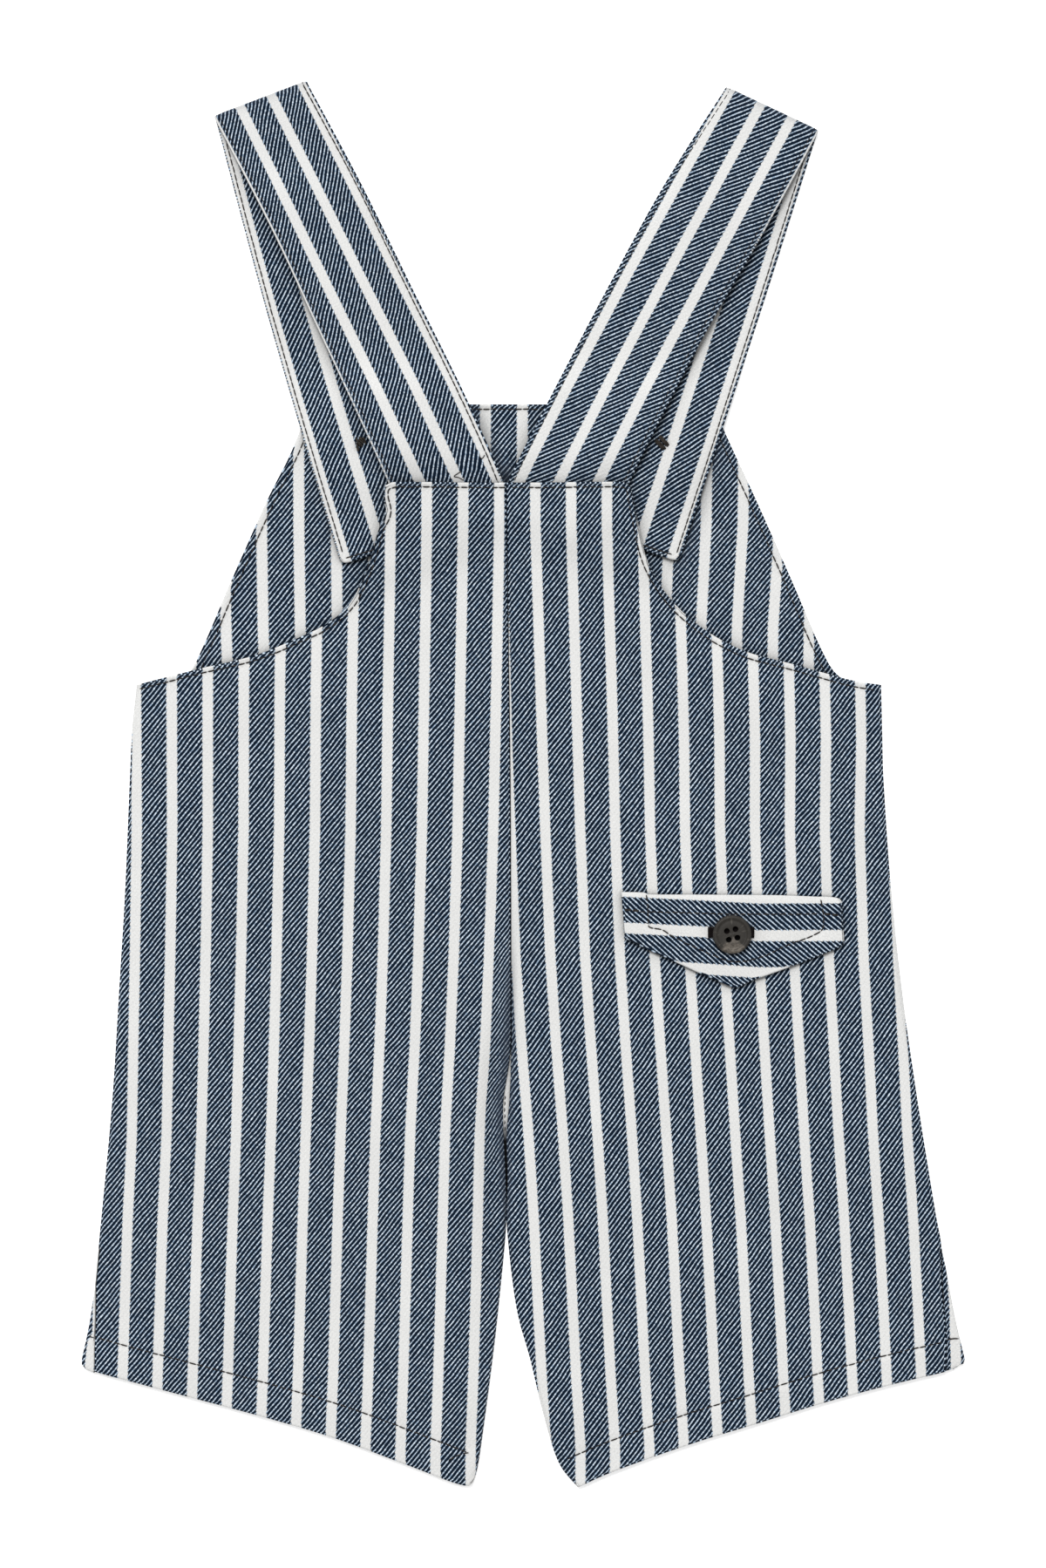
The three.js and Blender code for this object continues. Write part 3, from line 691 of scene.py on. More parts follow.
def button_material(name, centre):
    """Clouded dark resin with a paler taupe patch towards the lower edge."""
    m = Nodes(name)
    middle = (centre[0] * MM, centre[1] * MM, 0)
    local = m.add("VectorMath", {0: m.place(), 1: middle}, operation="SUBTRACT")
    clouds = m.noise(local, 260.0, 4.0, 0.6)
    veins = m.noise(local, 700.0, 3.0, 0.7)
    x, y = m.xy(local)
    size = BUTTON["radius"] * MM
    from_centre = m.math("DIVIDE", m.add("VectorMath", {0: local}, "Value", operation="LENGTH"), size)
    down = m.fit(y, -1 / size, m.fit(clouds, 0.9, -0.45))
    aside = m.math("ABSOLUTE", m.fit(x, 1 / size, -0.08))
    patch_factor = m.smooth(m.fit(aside, -0.9, down), 0.04, 0.34)

    # Pale rays that run outwards from the middle.
    polar = m.add("CombineXYZ", {0: m.mul(m.math("ARCTAN2", y, x), 2.6), 1: m.mul(from_centre, 1.3)})
    rays = m.smooth(m.noise(polar, 2.0, 3.0, 0.6), 0.56, 0.72)
    rays = m.mul(rays, m.smooth(from_centre, 0.35, 0.75))
    dark = m.mix(m.smooth(clouds, 0.3, 0.75), linear(4, 4, 4), linear(31, 30, 28))
    dark = m.mix(m.mul(rays, 0.45), dark, linear(108, 104, 95))
    pale = m.mix(m.smooth(veins, 0.3, 0.7), linear(58, 52, 46), linear(128, 120, 110))
    colour = m.mix(patch_factor, dark, pale)
    rim = m.smooth(from_centre, 0.84, 0.9)
    colour = m.mix(m.mul(rim, 0.35), colour, linear(84, 80, 75))
    # Painted shade: a dark ring in the groove inside the rim.
    groove = m.mul(m.smooth(from_centre, 0.7, 0.78), m.smooth(from_centre, 0.87, 0.8))
    colour = m.mix(m.mul(groove, 0.6), colour, linear(6, 6, 5))
    return m.finish({"Base Color": colour, "Roughness": m.fit(veins, 0.15, 0.42), "Specular IOR Level": 0.18,
                     "Normal": m.bump(veins, 0.15, 0.0001)})


def floor_material():
    m = Nodes("paper_floor")
    colour = m.mix(m.noise(m.place(), 3.0, 2.0), (0.93, 0.93, 0.93, 1), (0.95, 0.95, 0.95, 1))
    return m.finish({"Base Color": colour, "Roughness": 0.9, "Specular IOR Level": 0.1,
                     "Emission Color": (1, 1, 1, 1), "Emission Strength": FLOOR_GLOW})


TWILL = twill_material()
THREAD = thread_material("dark_thread", (26, 25, 26), (66, 60, 55))
WAD_THREAD = thread_material("wad_thread", (10, 9, 9), (72, 66, 60))
BLACK_THREAD = thread_material("black_thread", (3, 1, 2), (20, 12, 13))


# Grain maps: millimetres across the stripes and along them.

def grain_of(name, x, y):
    stripes = STRIPES[name]
    pitch = table_at(stripes, "pitch", y)
    return np.stack([(x - table_at(stripes, "x", y)) / pitch * STRIPE, y], -1)


def bib_grain(x, y):
    stripes = STRIPES["bib"]
    left, right = table_at(stripes, "left", y), table_at(stripes, "right", y)
    off = x - stripes["x"]
    return np.stack([off / np.where(off < 0, left, right) * STRIPE, y], -1)


def leg_grain(name, x, y):
    stripes = STRIPES[name]
    outer = table_at(stripes, "x", y)
    pitch = np.abs(outer - stripes["inner"]) / stripes["count"]
    return np.stack([(x - stripes["inner"]) / pitch * STRIPE, y], -1)


def flap_grain(x, y):
    stripes = STRIPES["flap"]
    off = y - np.interp(x, stripes["x"], stripes["y"])
    down, up = np.interp(x, stripes["x"], stripes["pitch"]), np.interp(x, stripes["x"], stripes["pitch_up"])
    return np.stack([off / np.where(off > 0, up, down) * STRIPE, -x], -1)


def mirrored(grain):
    return grain * np.array([-1, 1])


# Relief of hems and stitched edges.

def turned(d, width, step=0.35, groove=0.3):
    """Height of a turned edge at distance d inside it: a thicker border that ends in a stitched groove."""
    return step * (1 - ease((d - width + 0.6) / 1.5)) - groove * bell(d - width, 0.9)


def puckers(x, y, d, width, seed, height=0.12):
    """Small uneven pulls on both sides of a line of stitching."""
    return height * ripples(x, y, 9, seed) * bell(d - width, 4.5)


def rounded_edge(d):
    """How far a folded edge comes down at distance d inside it."""
    inside = np.clip(1 - d / EDGE_ROUND, 0, 1)
    return EDGE_DROP * (1 - np.sqrt(1 - inside**2))


def side_points(side, low=-1e3, high=1e3):
    return [(x, y) for x, y in zip(SIDES[side], SIDES["y"]) if low < y < high]


def middle_points(side, low=-1e3, high=1e3):
    return [(x, y) for x, y in zip(MIDDLE[side], MIDDLE["y"]) if low < y < high]


def back_edges(side):
    """Bounding lines of a back piece, from left to right or upwards: hem, top, left edge and right edge."""
    hem = HEMS[side]
    shown = list(zip(SEAM_SHOWS[side], SEAM_SHOWS["y"]))
    outer = (side_points(side, low=-170) + shown)[::-1]
    top_corner = (MIDDLE[side][0], TOP_EDGE)
    inner = [hem[-1]] + ([top_corner] + middle_points(side, high=114))[::-1]
    armhole = ARMHOLES[side]
    if side == "left":
        edge = [armhole[-1], (-49.8, 113.5), (-45, TOP_EDGE), top_corner]
        return (route([outer[0]] + hem[1:]), route(armhole, edge), route(outer), route(inner))
    bottom = route((hem[::-1])[:-1] + [outer[0]])
    edge = [top_corner, (34, TOP_EDGE), (37.8, 113.7), armhole[-1]]
    return bottom, route(edge, armhole[::-1]), route(inner), route(outer)


def pulled_in(points):
    """The left armhole's edge is drawn in a little below its upper corner."""
    x, y = points[..., 0], points[..., 1]
    pull = DRAWN_IN["by"] * spot(DRAWN_IN, x, y)
    return np.stack([x + pull, y], -1)


FINE = (1.0, 1.7, 2.5, 3.5, 5.0, 7.0)


def crotch_window(y):
    """Where the inner edge of the left leg turns down into the crotch."""
    return ease((-40 - y) / 45) * (1 - ease((-145 - y) / 45))


def crotch_shade(side, seam, vertices):
    """Painted shade beside the crotch, where the cloth turns down, at each vertex."""
    x, y = vertices[:, 0], vertices[:, 1]
    d = distance_to(seam, x, y)
    if side == "left":
        wide = np.interp(-y, [50, 75, 100, 130, 150, 165, 200], [1, 2.6, 4, 3.6, 2.6, 2, 1])
        return 0.55 * crotch_window(y) * (1 - ease((d - 0.4 * wide) / (0.7 * wide)))
    return 0.5 * crotch_window(y) * (1 - ease(d / 3))


def gap_shade(vertices):
    """Painted shade on the front cloth under the back's opening, nearly black; along the stretch at the
    crotch that shows, a touch of painted light instead.
    """
    x, y, z = vertices.T
    shown = ease((y + 131.5) / 3) * (1 - ease((y + 103) / 3))
    near = 1 - ease((np.abs(x - table_at(MIDDLE, "left", y)) - 3) / 3)
    return np.where(z > CLOTH / 2, near * (1 - 1.3 * shown), 0)


def back_piece(side):
    name = f"back_{side}"
    bottom, top, left, right = back_edges(side)
    hem_fine = (1.0, 2.2, 4, 6, 8, 9.5, 10.6, 11.6, 12.6, 13.6, 14.8, 16.5)
    v = spaced(380, 2.9, hem_fine, FINE)
    u = spaced(155, 2.7, FINE, FINE)
    plan = patch(bottom, top, left, right, u, v)
    if side == "left":
        plan, top = pulled_in(plan), pulled_in(top)
    x, y = plan[..., 0], plan[..., 1]
    outer, inner = (left, right) if side == "left" else (right, left)
    hem_width = HEM[side]
    from_hem = distance_to(bottom, x, y)
    from_top = distance_to(top, x, y)
    from_side = distance_to(outer, x, y)
    separate = inner[inner[:, 1] < LEGS_TOUCH]
    from_inner = distance_to(separate, x, y)
    from_seam = distance_to(inner, x, y)
    shown = ease((y + 190) / 14)
    relief = turned(from_hem, hem_width) + puckers(x, y, from_hem, hem_width, 11)
    relief += turned(from_top, TOPSTITCH, 0.3, 0.22) + puckers(x, y, from_top, 3.0, 12, 0.1)
    relief += 0.16 * bell(from_seam - 1.2, 1.6) - 0.3 * bell(from_seam, 0.8)
    relief += puckers(x, y, from_seam, 0.5, 13, 0.08)
    roll = {"left": 1.0, "right": 0.5}[side] * ease((-60 - y) / 40) * (1 - ease((-170 - y) / 50))
    relief -= roll * 0.7 * bell(from_seam, 3.5)
    calm = ease(from_hem / 6)
    soft = 0.22 * ripples(x, y, 62, 21) * calm + 0.07 * ripples(x, y, 21, 22)
    drop = np.maximum(rounded_edge(from_side) * shown, rounded_edge(from_inner) * ease((-150 - y) / 25))
    under = back_under(x, y)
    upper = under + CLOTH + 0.12 + relief + soft - drop
    lower = under + 0.12 + np.minimum(soft, 0.2) - drop * 0.95
    lower = np.minimum(lower, upper - 0.55)
    lower = np.maximum(lower, np.where(drop > 0.05, 0.3, front_top(x, y) - 0.15))
    grain = grain_of(name, x, y)
    if side == "left":
        at_seam = grain_of(name, table_at(MIDDLE, side, y), y)[..., 0]
        grain[..., 0] += np.clip(10.8 - at_seam, 0, 3.2) * crotch_window(y) * (1 - ease(from_seam / 8))
        blue_edge = -11 * STRIPE + STRIPE_HALF + 0.5  # the last white stripe has run out under the seam
        grain[..., 0] = np.where(y < -170, np.maximum(grain[..., 0], blue_edge), grain[..., 0])
    piece = panel(name, plan, upper, lower, grain, grain, lambda points: crotch_shade(side, inner, points))
    return piece, plan, (bottom, top, outer, inner)


def front_leg(side):
    name = f"front_leg_{side}"
    inset = 1.3
    sign = SIGN[side]
    outer = [(x + sign * inset, y) for x, y in [(float(table_at(SIDES, side, WAIST)), WAIST)]
             + side_points(side, high=WAIST - 1)][::-1]
    hidden = {"left": 1.7, "right": 2.2}[side]  # the centre front seam lies beside the back's opening
    heights = (WAIST, -40, -76, CROTCH, -119, LEGS_TOUCH, -156)
    seam = [(float(table_at(MIDDLE, "right", y)) + hidden, y) for y in heights]
    legs = [(x - sign * inset * float(ease((-160 - y) / 30)), y) for x, y in middle_points(side, high=-160)]
    hem = [(x, y + 0.5) for x, y in HEMS[side]]
    hem[0] = (outer[0][0] + sign * 0.8 * CORNERS[side]["size"], hem[0][1] + 0.5)
    hem[-1] = (hem[-1][0] - sign * inset, hem[-1][1])
    inner = (seam + legs + [hem[-1]])[::-1]
    outer = [hem[0]] + outer
    if side == "left":
        bottom, left, right = route(hem), route(outer), route(inner)
    else:
        bottom, left, right = route(hem[::-1]), route(inner), route(outer)
    top = route([tuple(left[-1]), tuple(right[-1])])
    plan = patch(bottom, top, left, right, spaced(150, 4.5, FINE, FINE), spaced(265, 5, FINE, FINE))
    x, y = plan[..., 0], plan[..., 1]
    grain = leg_grain(name, x, y)
    upper = np.dstack([plan, np.full(x.shape, CLOTH)])
    lower = np.dstack([plan, np.zeros(x.shape)])
    vertices, faces, uv = shell(upper, lower, grain, mirrored(grain))
    more, more_faces, more_uv = turned_side(side, name)
    faces += [tuple(len(vertices) + i for i in face) for face in more_faces]
    painted_shade = np.concatenate([gap_shade(vertices), np.zeros(len(more))])
    piece = cloth(name, np.vstack([vertices, more]), faces, np.vstack([uv, more_uv]), painted_shade)
    return piece, plan


def turned_side(side, name):
    """The front cloth that comes round the folded edge above a hem, up to the side seam."""
    sign = SIGN[side]
    rows = np.linspace(-176, CORNERS[side]["end"], 28)
    outline = along_outline(side, rows)
    seam = table_at(SEAM_SHOWS, side, rows)
    width = np.maximum(sign * (seam - outline) + 0.05, 0.35)
    turn = np.linspace(-0.5, 0.5, 9) * math.pi
    radius = 0.72
    skins = []
    for thick in (0.45, -0.45):
        points = np.zeros((len(rows), len(turn) + 5, 3))
        for j, y in enumerate(rows):
            reach = width[j]
            bend = min(radius + 0.3, reach * 0.8)
            ring_x = (bend + 0.1) - (bend + thick * min(1, bend)) * np.cos(turn)
            ring_z = 1.25 + (radius + thick) * np.sin(turn)
            flat_x = np.linspace(bend + 0.1, max(reach, bend + 0.2), 6)[1:]
            across = np.concatenate([ring_x, flat_x])
            height = np.concatenate([ring_z, np.full(5, ring_z[-1])])
            lift = 0.25 * ease((y + 176) / -16) + 0.2 * ease(across / 4) * ease((y + 190) / -14)
            points[j, :, 0] = outline[j] + sign * across
            lower = CORNERS[side]["lower"] * np.clip(across / reach, 0, 1)
            points[j, :, 1] = y - lower * ease((-205 - y) / 16)
            points[j, :, 2] = np.maximum(height + lift * (height > 1.25), 0.02)
        skins.append(points)
    outer, inner = skins
    if side == "left":
        outer, inner = outer[::-1], inner[::-1]
    grain = leg_grain(name, outer[..., 0], outer[..., 1])
    return shell(outer, inner, grain, grain, rim_steps=3)


def along_outline(side, rows):
    """Outer edge of the garment at each height, its last corner rounded off."""
    edge = curve(side_points(side)[::-1])
    x = np.interp(rows, edge[:, 1], edge[:, 0])
    sign = SIGN[side]
    start, end = CORNERS[side]["start"], CORNERS[side]["end"]
    corner = np.clip((start - rows) / (start - end), 0, 1)
    return x + sign * CORNERS[side]["size"] * (1 - np.sqrt(1 - corner**2))


def bib_piece():
    seam_y = WAIST + SEAM
    lines = {}
    for side in ("left", "right"):
        sign = SIGN[side]
        start = (float(table_at(SIDES, side, seam_y)) + sign * 1.3, seam_y)
        underarm = (SIDES[side][0] + sign * 1.0, SIDES["y"][0] - 0.6)
        edge = list(zip(BIB[side], BIB["y"]))[::-1]
        lines[side] = route([start, underarm], [underarm] + edge)
    left, right = lines["left"], lines["right"]
    bottom = route([tuple(left[0]), tuple(right[0])])
    top = route([tuple(left[-1]), tuple(right[-1])])
    plan = patch(bottom, top, left, right, spaced(200, 2.6, FINE, FINE), spaced(150, 2.6, FINE, FINE))
    x, y = plan[..., 0], plan[..., 1]
    from_top = distance_to(top, x, y)
    from_side = np.minimum(distance_to(left, x, y), distance_to(right, x, y))
    relief = turned(from_top, TOPSTITCH, 0.3, 0.25) + puckers(x, y, from_top, TOPSTITCH, 31, 0.1)
    relief += turned(from_side, BIB_SIDE_STITCH, 0.3, 0.25) * ease((y - 30) / 12)
    relief += puckers(x, y, from_side, BIB_SIDE_STITCH, 32, 0.1)
    relief += 0.18 * ripples(x, y, 48, 33) + 0.06 * ripples(x, y, 18, 34)
    under = front_under(x, y)
    under_back = ease((45 - y) / 20)
    upper = under + CLOTH + np.maximum(relief, -0.2) * (1 - under_back)
    grain = bib_grain(x, y)
    piece = panel("front_bib", plan, upper, under, grain, mirrored(grain), bib_shade)
    return piece, plan, (left, right, top)


def bib_shade(vertices):
    """Deep shade on the bib where the straps meet, and some beside their right edges."""
    x, y, z = vertices.T
    apex = APEX["painted_shade"] * spot(APEX, x, y)
    left = [row[1] for row in STRAPS["strap_left"]["back"][1:4]]
    right = [row[1] for row in STRAPS["strap_right"]["front"][1:]]
    beside = [0.3 * bell(distance_to(np.array(line), x, y), 3.5) for line in (left, right)]
    return np.where(z > PANEL / 2, np.maximum(apex, np.maximum(*beside)), 0)


class Band:
    """A strap's middle surface and both skins, as functions of the place across and along it."""

    def __init__(self, name):
        strap = STRAPS[name]
        self.edges = {}
        for part in ("back", "front"):
            rows = strap[part]
            self.edges[part] = [curve([row[k] for row in rows]) for k in (0, 1)]
        fold = np.array(strap["front"][0], float)
        self.fold = fold
        axis = (fold[1] - fold[0]) / np.hypot(*(fold[1] - fold[0]))
        self.outward = np.array([-axis[1], axis[0]])
        self.lengths = {part: line_length(sum(edges) / 2) for part, edges in self.edges.items()}
        self.bend = BAND / 2 + SEAM
        self.turn = math.pi * self.bend
        self.total = self.lengths["back"] + self.turn + self.lengths["front"]

    def rounded(self, u, s):
        """Draws the corners of the front end in along the strap, to round them."""
        corner = 3.2
        inside = np.clip(1 - min(u, 1 - u) * STRAP_WIDTH / corner, 0, 1)
        back = corner * 0.8 * (1 - math.sqrt(1 - inside**2))
        return s - back * float(ease((s - self.total + 10) / 10))

    def laid_out(self, across, stations):
        """Millimetres across the band from its left edge, and along it, for a grid of places."""
        place, long = np.zeros((len(stations), len(across))), np.zeros((len(stations), len(across)))
        turn_start, turn_end = self.lengths["back"], self.lengths["back"] + self.turn
        lines = {part: edges[0] for part, edges in self.edges.items()}
        offset = {"back": 0, "front": line_length(lines["back"]) + self.turn}
        for j, s in enumerate(stations):
            part = "back" if s < (turn_start + turn_end) / 2 else "front"
            flat = s if part == "back" else max(s - turn_end, 0)
            t = min(flat / self.lengths[part], 1)
            ends = [along(edge, [t])[0] for edge in self.edges[part]]
            points = ends[0] * (1 - across[:, None]) + ends[1] * across[:, None]
            place[j], long[j] = measure(lines[part], points[:, 0], points[:, 1], beyond=30)
            long[j] += offset[part]
            if part == "back" and s > turn_start:
                long[j] += s - turn_start
            elif part == "front" and s < turn_end:
                long[j] += s - turn_end
        return place, long

    def point(self, u, s, skin):
        """Place of a skin (1 outer, -1 inner) at u across, from left to right, and s millimetres along."""
        from_edge = np.minimum(u, 1 - u) * STRAP_WIDTH
        edge_ease = 1 - 0.25 * bell(from_edge, 1.2)
        pillow = 0.12 * bell(from_edge - TOPSTITCH, 0.9)
        half = BAND / 2 * edge_ease - pillow
        if self.lengths["back"] < s < self.lengths["back"] + self.turn:
            angle = math.pi * (0.5 - (s - self.lengths["back"]) / self.turn)
            out, up = math.cos(angle), math.sin(angle)
            x, y = self.fold[0] * (1 - u) + self.fold[1] * u
            reach = self.bend + skin * half
            return (x + self.outward[0] * reach * out, y + self.outward[1] * reach * out,
                    BAND + SEAM + reach * up)
        part = "back" if s <= self.lengths["back"] else "front"
        start = 0 if part == "back" else self.lengths["back"] + self.turn
        t = (s - start) / self.lengths[part]
        ends = [along(edge, [min(max(t, 0), 1)])[0] for edge in self.edges[part]]
        x, y = ends[0] * (1 - u) + ends[1] * u
        under = strap_back_under if part == "back" else strap_front_under
        sign = skin if part == "back" else -skin
        wave = 0.1 * float(ripples(np.array(x), np.array(y), 34, 41)) * min(1, max(0, (250 - y) / 12))
        middle = float(under(x, y)) + BAND / 2 + (wave if part == "back" else max(0.0, wave))
        return x, y, middle + sign * half


def strap_piece(name):
    band = Band(name)
    fine = (0.9, 1.5, 2.1, 2.8, 3.8)
    across = spaced(STRAP_WIDTH, 2.6, fine, fine)
    back_end = band.lengths["back"]
    front_start = back_end + band.turn
    stations = np.concatenate([
        spaced(back_end, 2.6, (1.0, 2.0)) * back_end,
        back_end + band.turn * np.linspace(0, 1, 13)[1:-1],
        front_start + spaced(band.lengths["front"], 2.6, (), (0.9, 1.8, 2.7, 3.8)) * band.lengths["front"],
    ])
    skins = {skin: np.array([[band.point(u, band.rounded(u, s), skin) for u in across] for s in stations])
             for skin in (1, -1)}
    strap = STRAPS[name]
    place, long = band.laid_out(across, stations)
    x, y = skins[1][..., 0], skins[1][..., 1]
    rows = -np.asarray(STRAP_ROWS)
    on_back = (x - np.interp(-y, rows, strap["stripe"])) / np.interp(-y, rows, strap["pitch"]) * STRIPE
    if name == "strap_left":
        # A white stripe just shows along this edge, more of it towards the fold.
        on_back[:, 0] = np.interp(y[:, 0], [150, 185, 215], [-11.55, -11.9, -12.8])
    known = np.array(strap["inner_stripes"])
    places = np.concatenate([[known[0] - STRIPE], known, [known[-1] + STRIPE]])
    on_front = np.interp(place, places, STRIPE * np.arange(-1, 4))
    grains = {1: np.stack([on_back, long], -1), -1: np.stack([on_front, -long], -1)}
    vertices, faces, uv = shell(skins[1], skins[-1], grains[1], grains[-1])
    # Painted shade on the turn at the fold: the strap's colour is darkened a little from the fold outwards.
    from_fold = (vertices[:, :2] - band.fold[0]) @ band.outward
    piece = cloth(name, vertices, faces, uv, 0.3 * ease((from_fold + 0.6) / 1.6))
    lines = []
    inset = TOPSTITCH / STRAP_WIDTH
    steps = np.arange(1.5, band.total - TOPSTITCH, 0.8)
    for skin in (1, -1):
        near = [band.point(inset, s, skin) for s in steps]
        end = [band.point(u, band.total - TOPSTITCH, skin) for u in np.linspace(inset, 1 - inset, 44)]
        far = [band.point(1 - inset, s, skin) for s in steps]
        lines += [near, end, far]
    return piece, band, lines


def flap_shade(vertices):
    """Deep shade on the flap round and under its button."""
    from_button = np.hypot(vertices[:, 0] - FLAP_BUTTON[0], vertices[:, 1] - FLAP_BUTTON[1])
    return 1 - ease((from_button - 4.5) / 1.5)


def flap_piece():
    ends = [route([FLAP_POINT[k], FLAP_TOP[k]]) for k in (0, -1)]
    bottom, top = route(FLAP_POINT), route(FLAP_TOP)
    plan = patch(bottom, top, ends[0], ends[1], spaced(86, 1.6, (0.9, 1.6), (0.9, 1.6)),
                 spaced(26, 1.4, (0.9, 1.6), (0.9, 1.6)))
    x, y = plan[..., 0], plan[..., 1]
    base = back_under(x, y) + PANEL + SEAM
    free = np.vstack([ends[0][::-1], bottom, ends[1]])
    d = distance_to(free, x, y)
    from_top = distance_to(top, x, y)
    relief = turned(d, TOPSTITCH - 0.6, 0.12, 0.1) - 0.28 * bell(d - FLAP_STITCH, 1.0)
    relief += 0.14 * ripples(x, y, 24, 51) + 0.25 * bell(d - 5, 4)
    relief -= 0.45 * bell(from_top, 1.4) + 0.3 * bell(y + 0.022 * (x - 38) + 47.5, 0.8)
    lower = base + 0.25 - 0.15 * (from_top < 3)
    grain = flap_grain(x, y)
    return panel("pocket_flap", plan, base + FLAP + relief, lower, grain, grain, flap_shade), plan


# Buttons.

def button_piece(name, centre, base, face_up=True):
    """A dished four-hole button, turned from a profile and drilled, at real size."""
    r, t = BUTTON["radius"], BUTTON["thickness"]
    profile = [(0.0, 0.0), (r - 1.2, 0.0), (r - 0.45, 0.25), (r - 0.08, 0.8), (r, 1.35), (r - 0.08, 1.8),
               (r - 0.35, 2.2), (r - 0.8, t), (r - 1.25, t - 0.08), (r - 1.6, t - 0.36), (r - 1.9, t - 0.62),
               (r - 2.3, t - 0.62), (r - 2.9, t - 0.52), (r - 3.8, t - 0.56), (r - 5.4, t - 0.74),
               (0.0, t - 0.85)]
    segments = 96
    vertices, faces = [(0, 0, profile[0][1])], []
    for radius, z in profile[1:-1]:
        for k in range(segments):
            angle = 2 * math.pi * k / segments
            vertices.append((radius * math.cos(angle), radius * math.sin(angle), z))
    vertices.append((0, 0, profile[-1][1]))
    rings = len(profile) - 2
    ring = lambda j, k: 1 + j * segments + k % segments
    for k in range(segments):
        faces.append((0, ring(0, k + 1), ring(0, k)))
        for j in range(rings - 1):
            faces.append((ring(j, k), ring(j, k + 1), ring(j + 1, k + 1), ring(j + 1, k)))
        faces.append((ring(rings - 1, k), ring(rings - 1, k + 1), len(vertices) - 1))
    flip = 1 if face_up else -1
    placed = [(centre[0] + x, centre[1] + flip * y, base + flip * z) for x, y, z in vertices]
    piece = make_object(name + "_detail", np.array(placed), faces, button_material(name + "_resin", centre))
    drills = []
    for k in range(4):
        angle = math.radians(BUTTON["turn"] + 90 * k)
        pitch = BUTTON["pitch"]
        at = (centre[0] + pitch * math.cos(angle), centre[1] + flip * pitch * math.sin(angle))
        drills.append(drill(at, base + flip * t / 2))
    for cutter in drills:
        cut = piece.modifiers.new("hole", "BOOLEAN")
        cut.operation = "DIFFERENCE"
        cut.solver = "EXACT"
        cut.object = cutter
    apply_modifiers(piece)
    for cutter in drills:
        bpy.data.objects.remove(cutter)
    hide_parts(name)


def drill(at, middle, sides=28):
    """A closed rod that cuts one thread hole."""
    radius, reach = BUTTON["hole"], 3.0
    rings = [(middle - reach, radius), (middle + 0.05, radius), (middle + reach, radius * 1.25)]
    angles = [2 * math.pi * k / sides for k in range(sides)]
    vertices = [(at[0] + rr * math.cos(a), at[1] + rr * math.sin(a), z) for z, rr in rings for a in angles]
    faces = [tuple(range(sides))[::-1], tuple(2 * sides + k for k in range(sides))]
    faces += between_rings(len(rings), sides)
    mesh = bpy.data.meshes.new("drill")
    mesh.from_pydata([tuple(c * MM for c in v) for v in vertices], [], faces)
    return add_object("drill", mesh)


def apply_modifiers(piece):
    graph = bpy.context.evaluated_depsgraph_get()
    graph.update()
    made = bpy.data.meshes.new_from_object(piece.evaluated_get(graph))
    piece.modifiers.clear()
    piece.data = made


def buttonhole(surface):
    """Close satin stitches round the slit in the flap; its ends show beside the button."""
    cx, cy = FLAP_BUTTON[0] - 0.3, FLAP_BUTTON[1] + 0.7
    half, wide = 7.6, 2.2
    paths = []
    for x in np.arange(cx - half, cx + half, 0.3):
        for side in (-1, 1):
            ys = cy + side * np.linspace(-0.5, wide, 5)
            paths.append(lifted(surface, [(x, y) for y in ys], 0.12))
    for end in (-1, 1):
        for k in range(4):
            x = cx + end * (half + 0.15 + 0.28 * k)
            ys = np.linspace(cy - wide, cy + wide, 7)
            paths.append(lifted(surface, [(x, y) for y in ys], 0.2))
    return threads("buttonhole_stitching", paths, 0.2, BLACK_THREAD)


def thread_wads(surfaces):
    """The thread that holds the bib buttons, on the inner side of the straps."""
    left, right = BIB_BUTTONS["bib_button_left"], BIB_BUTTONS["bib_button_right"]
    paths = []
    rng = np.random.default_rng(61)
    hooks = [[(-1.7, 1.6), (-1.3, 0.4), (-0.2, 1.0), (0.9, 1.5), (1.6, 0.6), (1.9, -0.9)],
             [(-1.5, -0.2), (-1.2, -1.5), (-0.6, -3.0)],
             [(-1.2, 0.8), (0.2, 0.2), (1.0, -0.8)],
             [(-0.9, 0.1), (-0.1, -0.6), (0.6, -1.8)],
             [(-0.6, 1.9), (0.3, 1.1), (1.3, -0.2)],
             [(-1.4, 0.5), (-0.6, -0.6), (-0.2, -1.9)],
             [(-1.5, -0.2), (-1.35, -1.9), (-0.9, -3.6)]]
    for hook in hooks:
        points = curve(hook, 5)
        heights = np.linspace(0, math.pi, len(points))
        paths.append([(left[0] + x, left[1] + y, surfaces[0].height(left[0] + x, left[1] + y) + 0.15
                       + 0.5 * math.sin(h)) for (x, y), h in zip(points, heights)])
    for shift in (-1.45, -0.95, -0.5, 0.55, 1.05, 1.5):
        wobble = rng.normal(0, 0.08, 5)
        steps = np.linspace(-1, 1, 5)
        points = [(right[0] + 1.75 * s + 0.72 * shift + w, right[1] - 1.85 * s + 0.68 * shift)
                  for s, w in zip(steps, wobble)]
        paths.append([(x, y, surfaces[1].height(x, y) + 0.12 + 0.55 * (1 - s * s))
                      for (x, y), s in zip(points, steps)])
    threads("button_thread_wads", paths, 0.3, WAD_THREAD, sides=8, taper=0.5)


# Assembly.

bib, bib_plan, (bib_left, bib_right, bib_top) = bib_piece()
legs = {side: front_leg(side) for side in ("left", "right")}
straps = {name: strap_piece(name) for name in STRAPS}
backs = {side: back_piece(side) for side in ("left", "right")}
back_surfaces = {side: Surface(backs[side][0]) for side in backs}
flap, flap_plan = flap_piece()
flap_surface = Surface(flap)

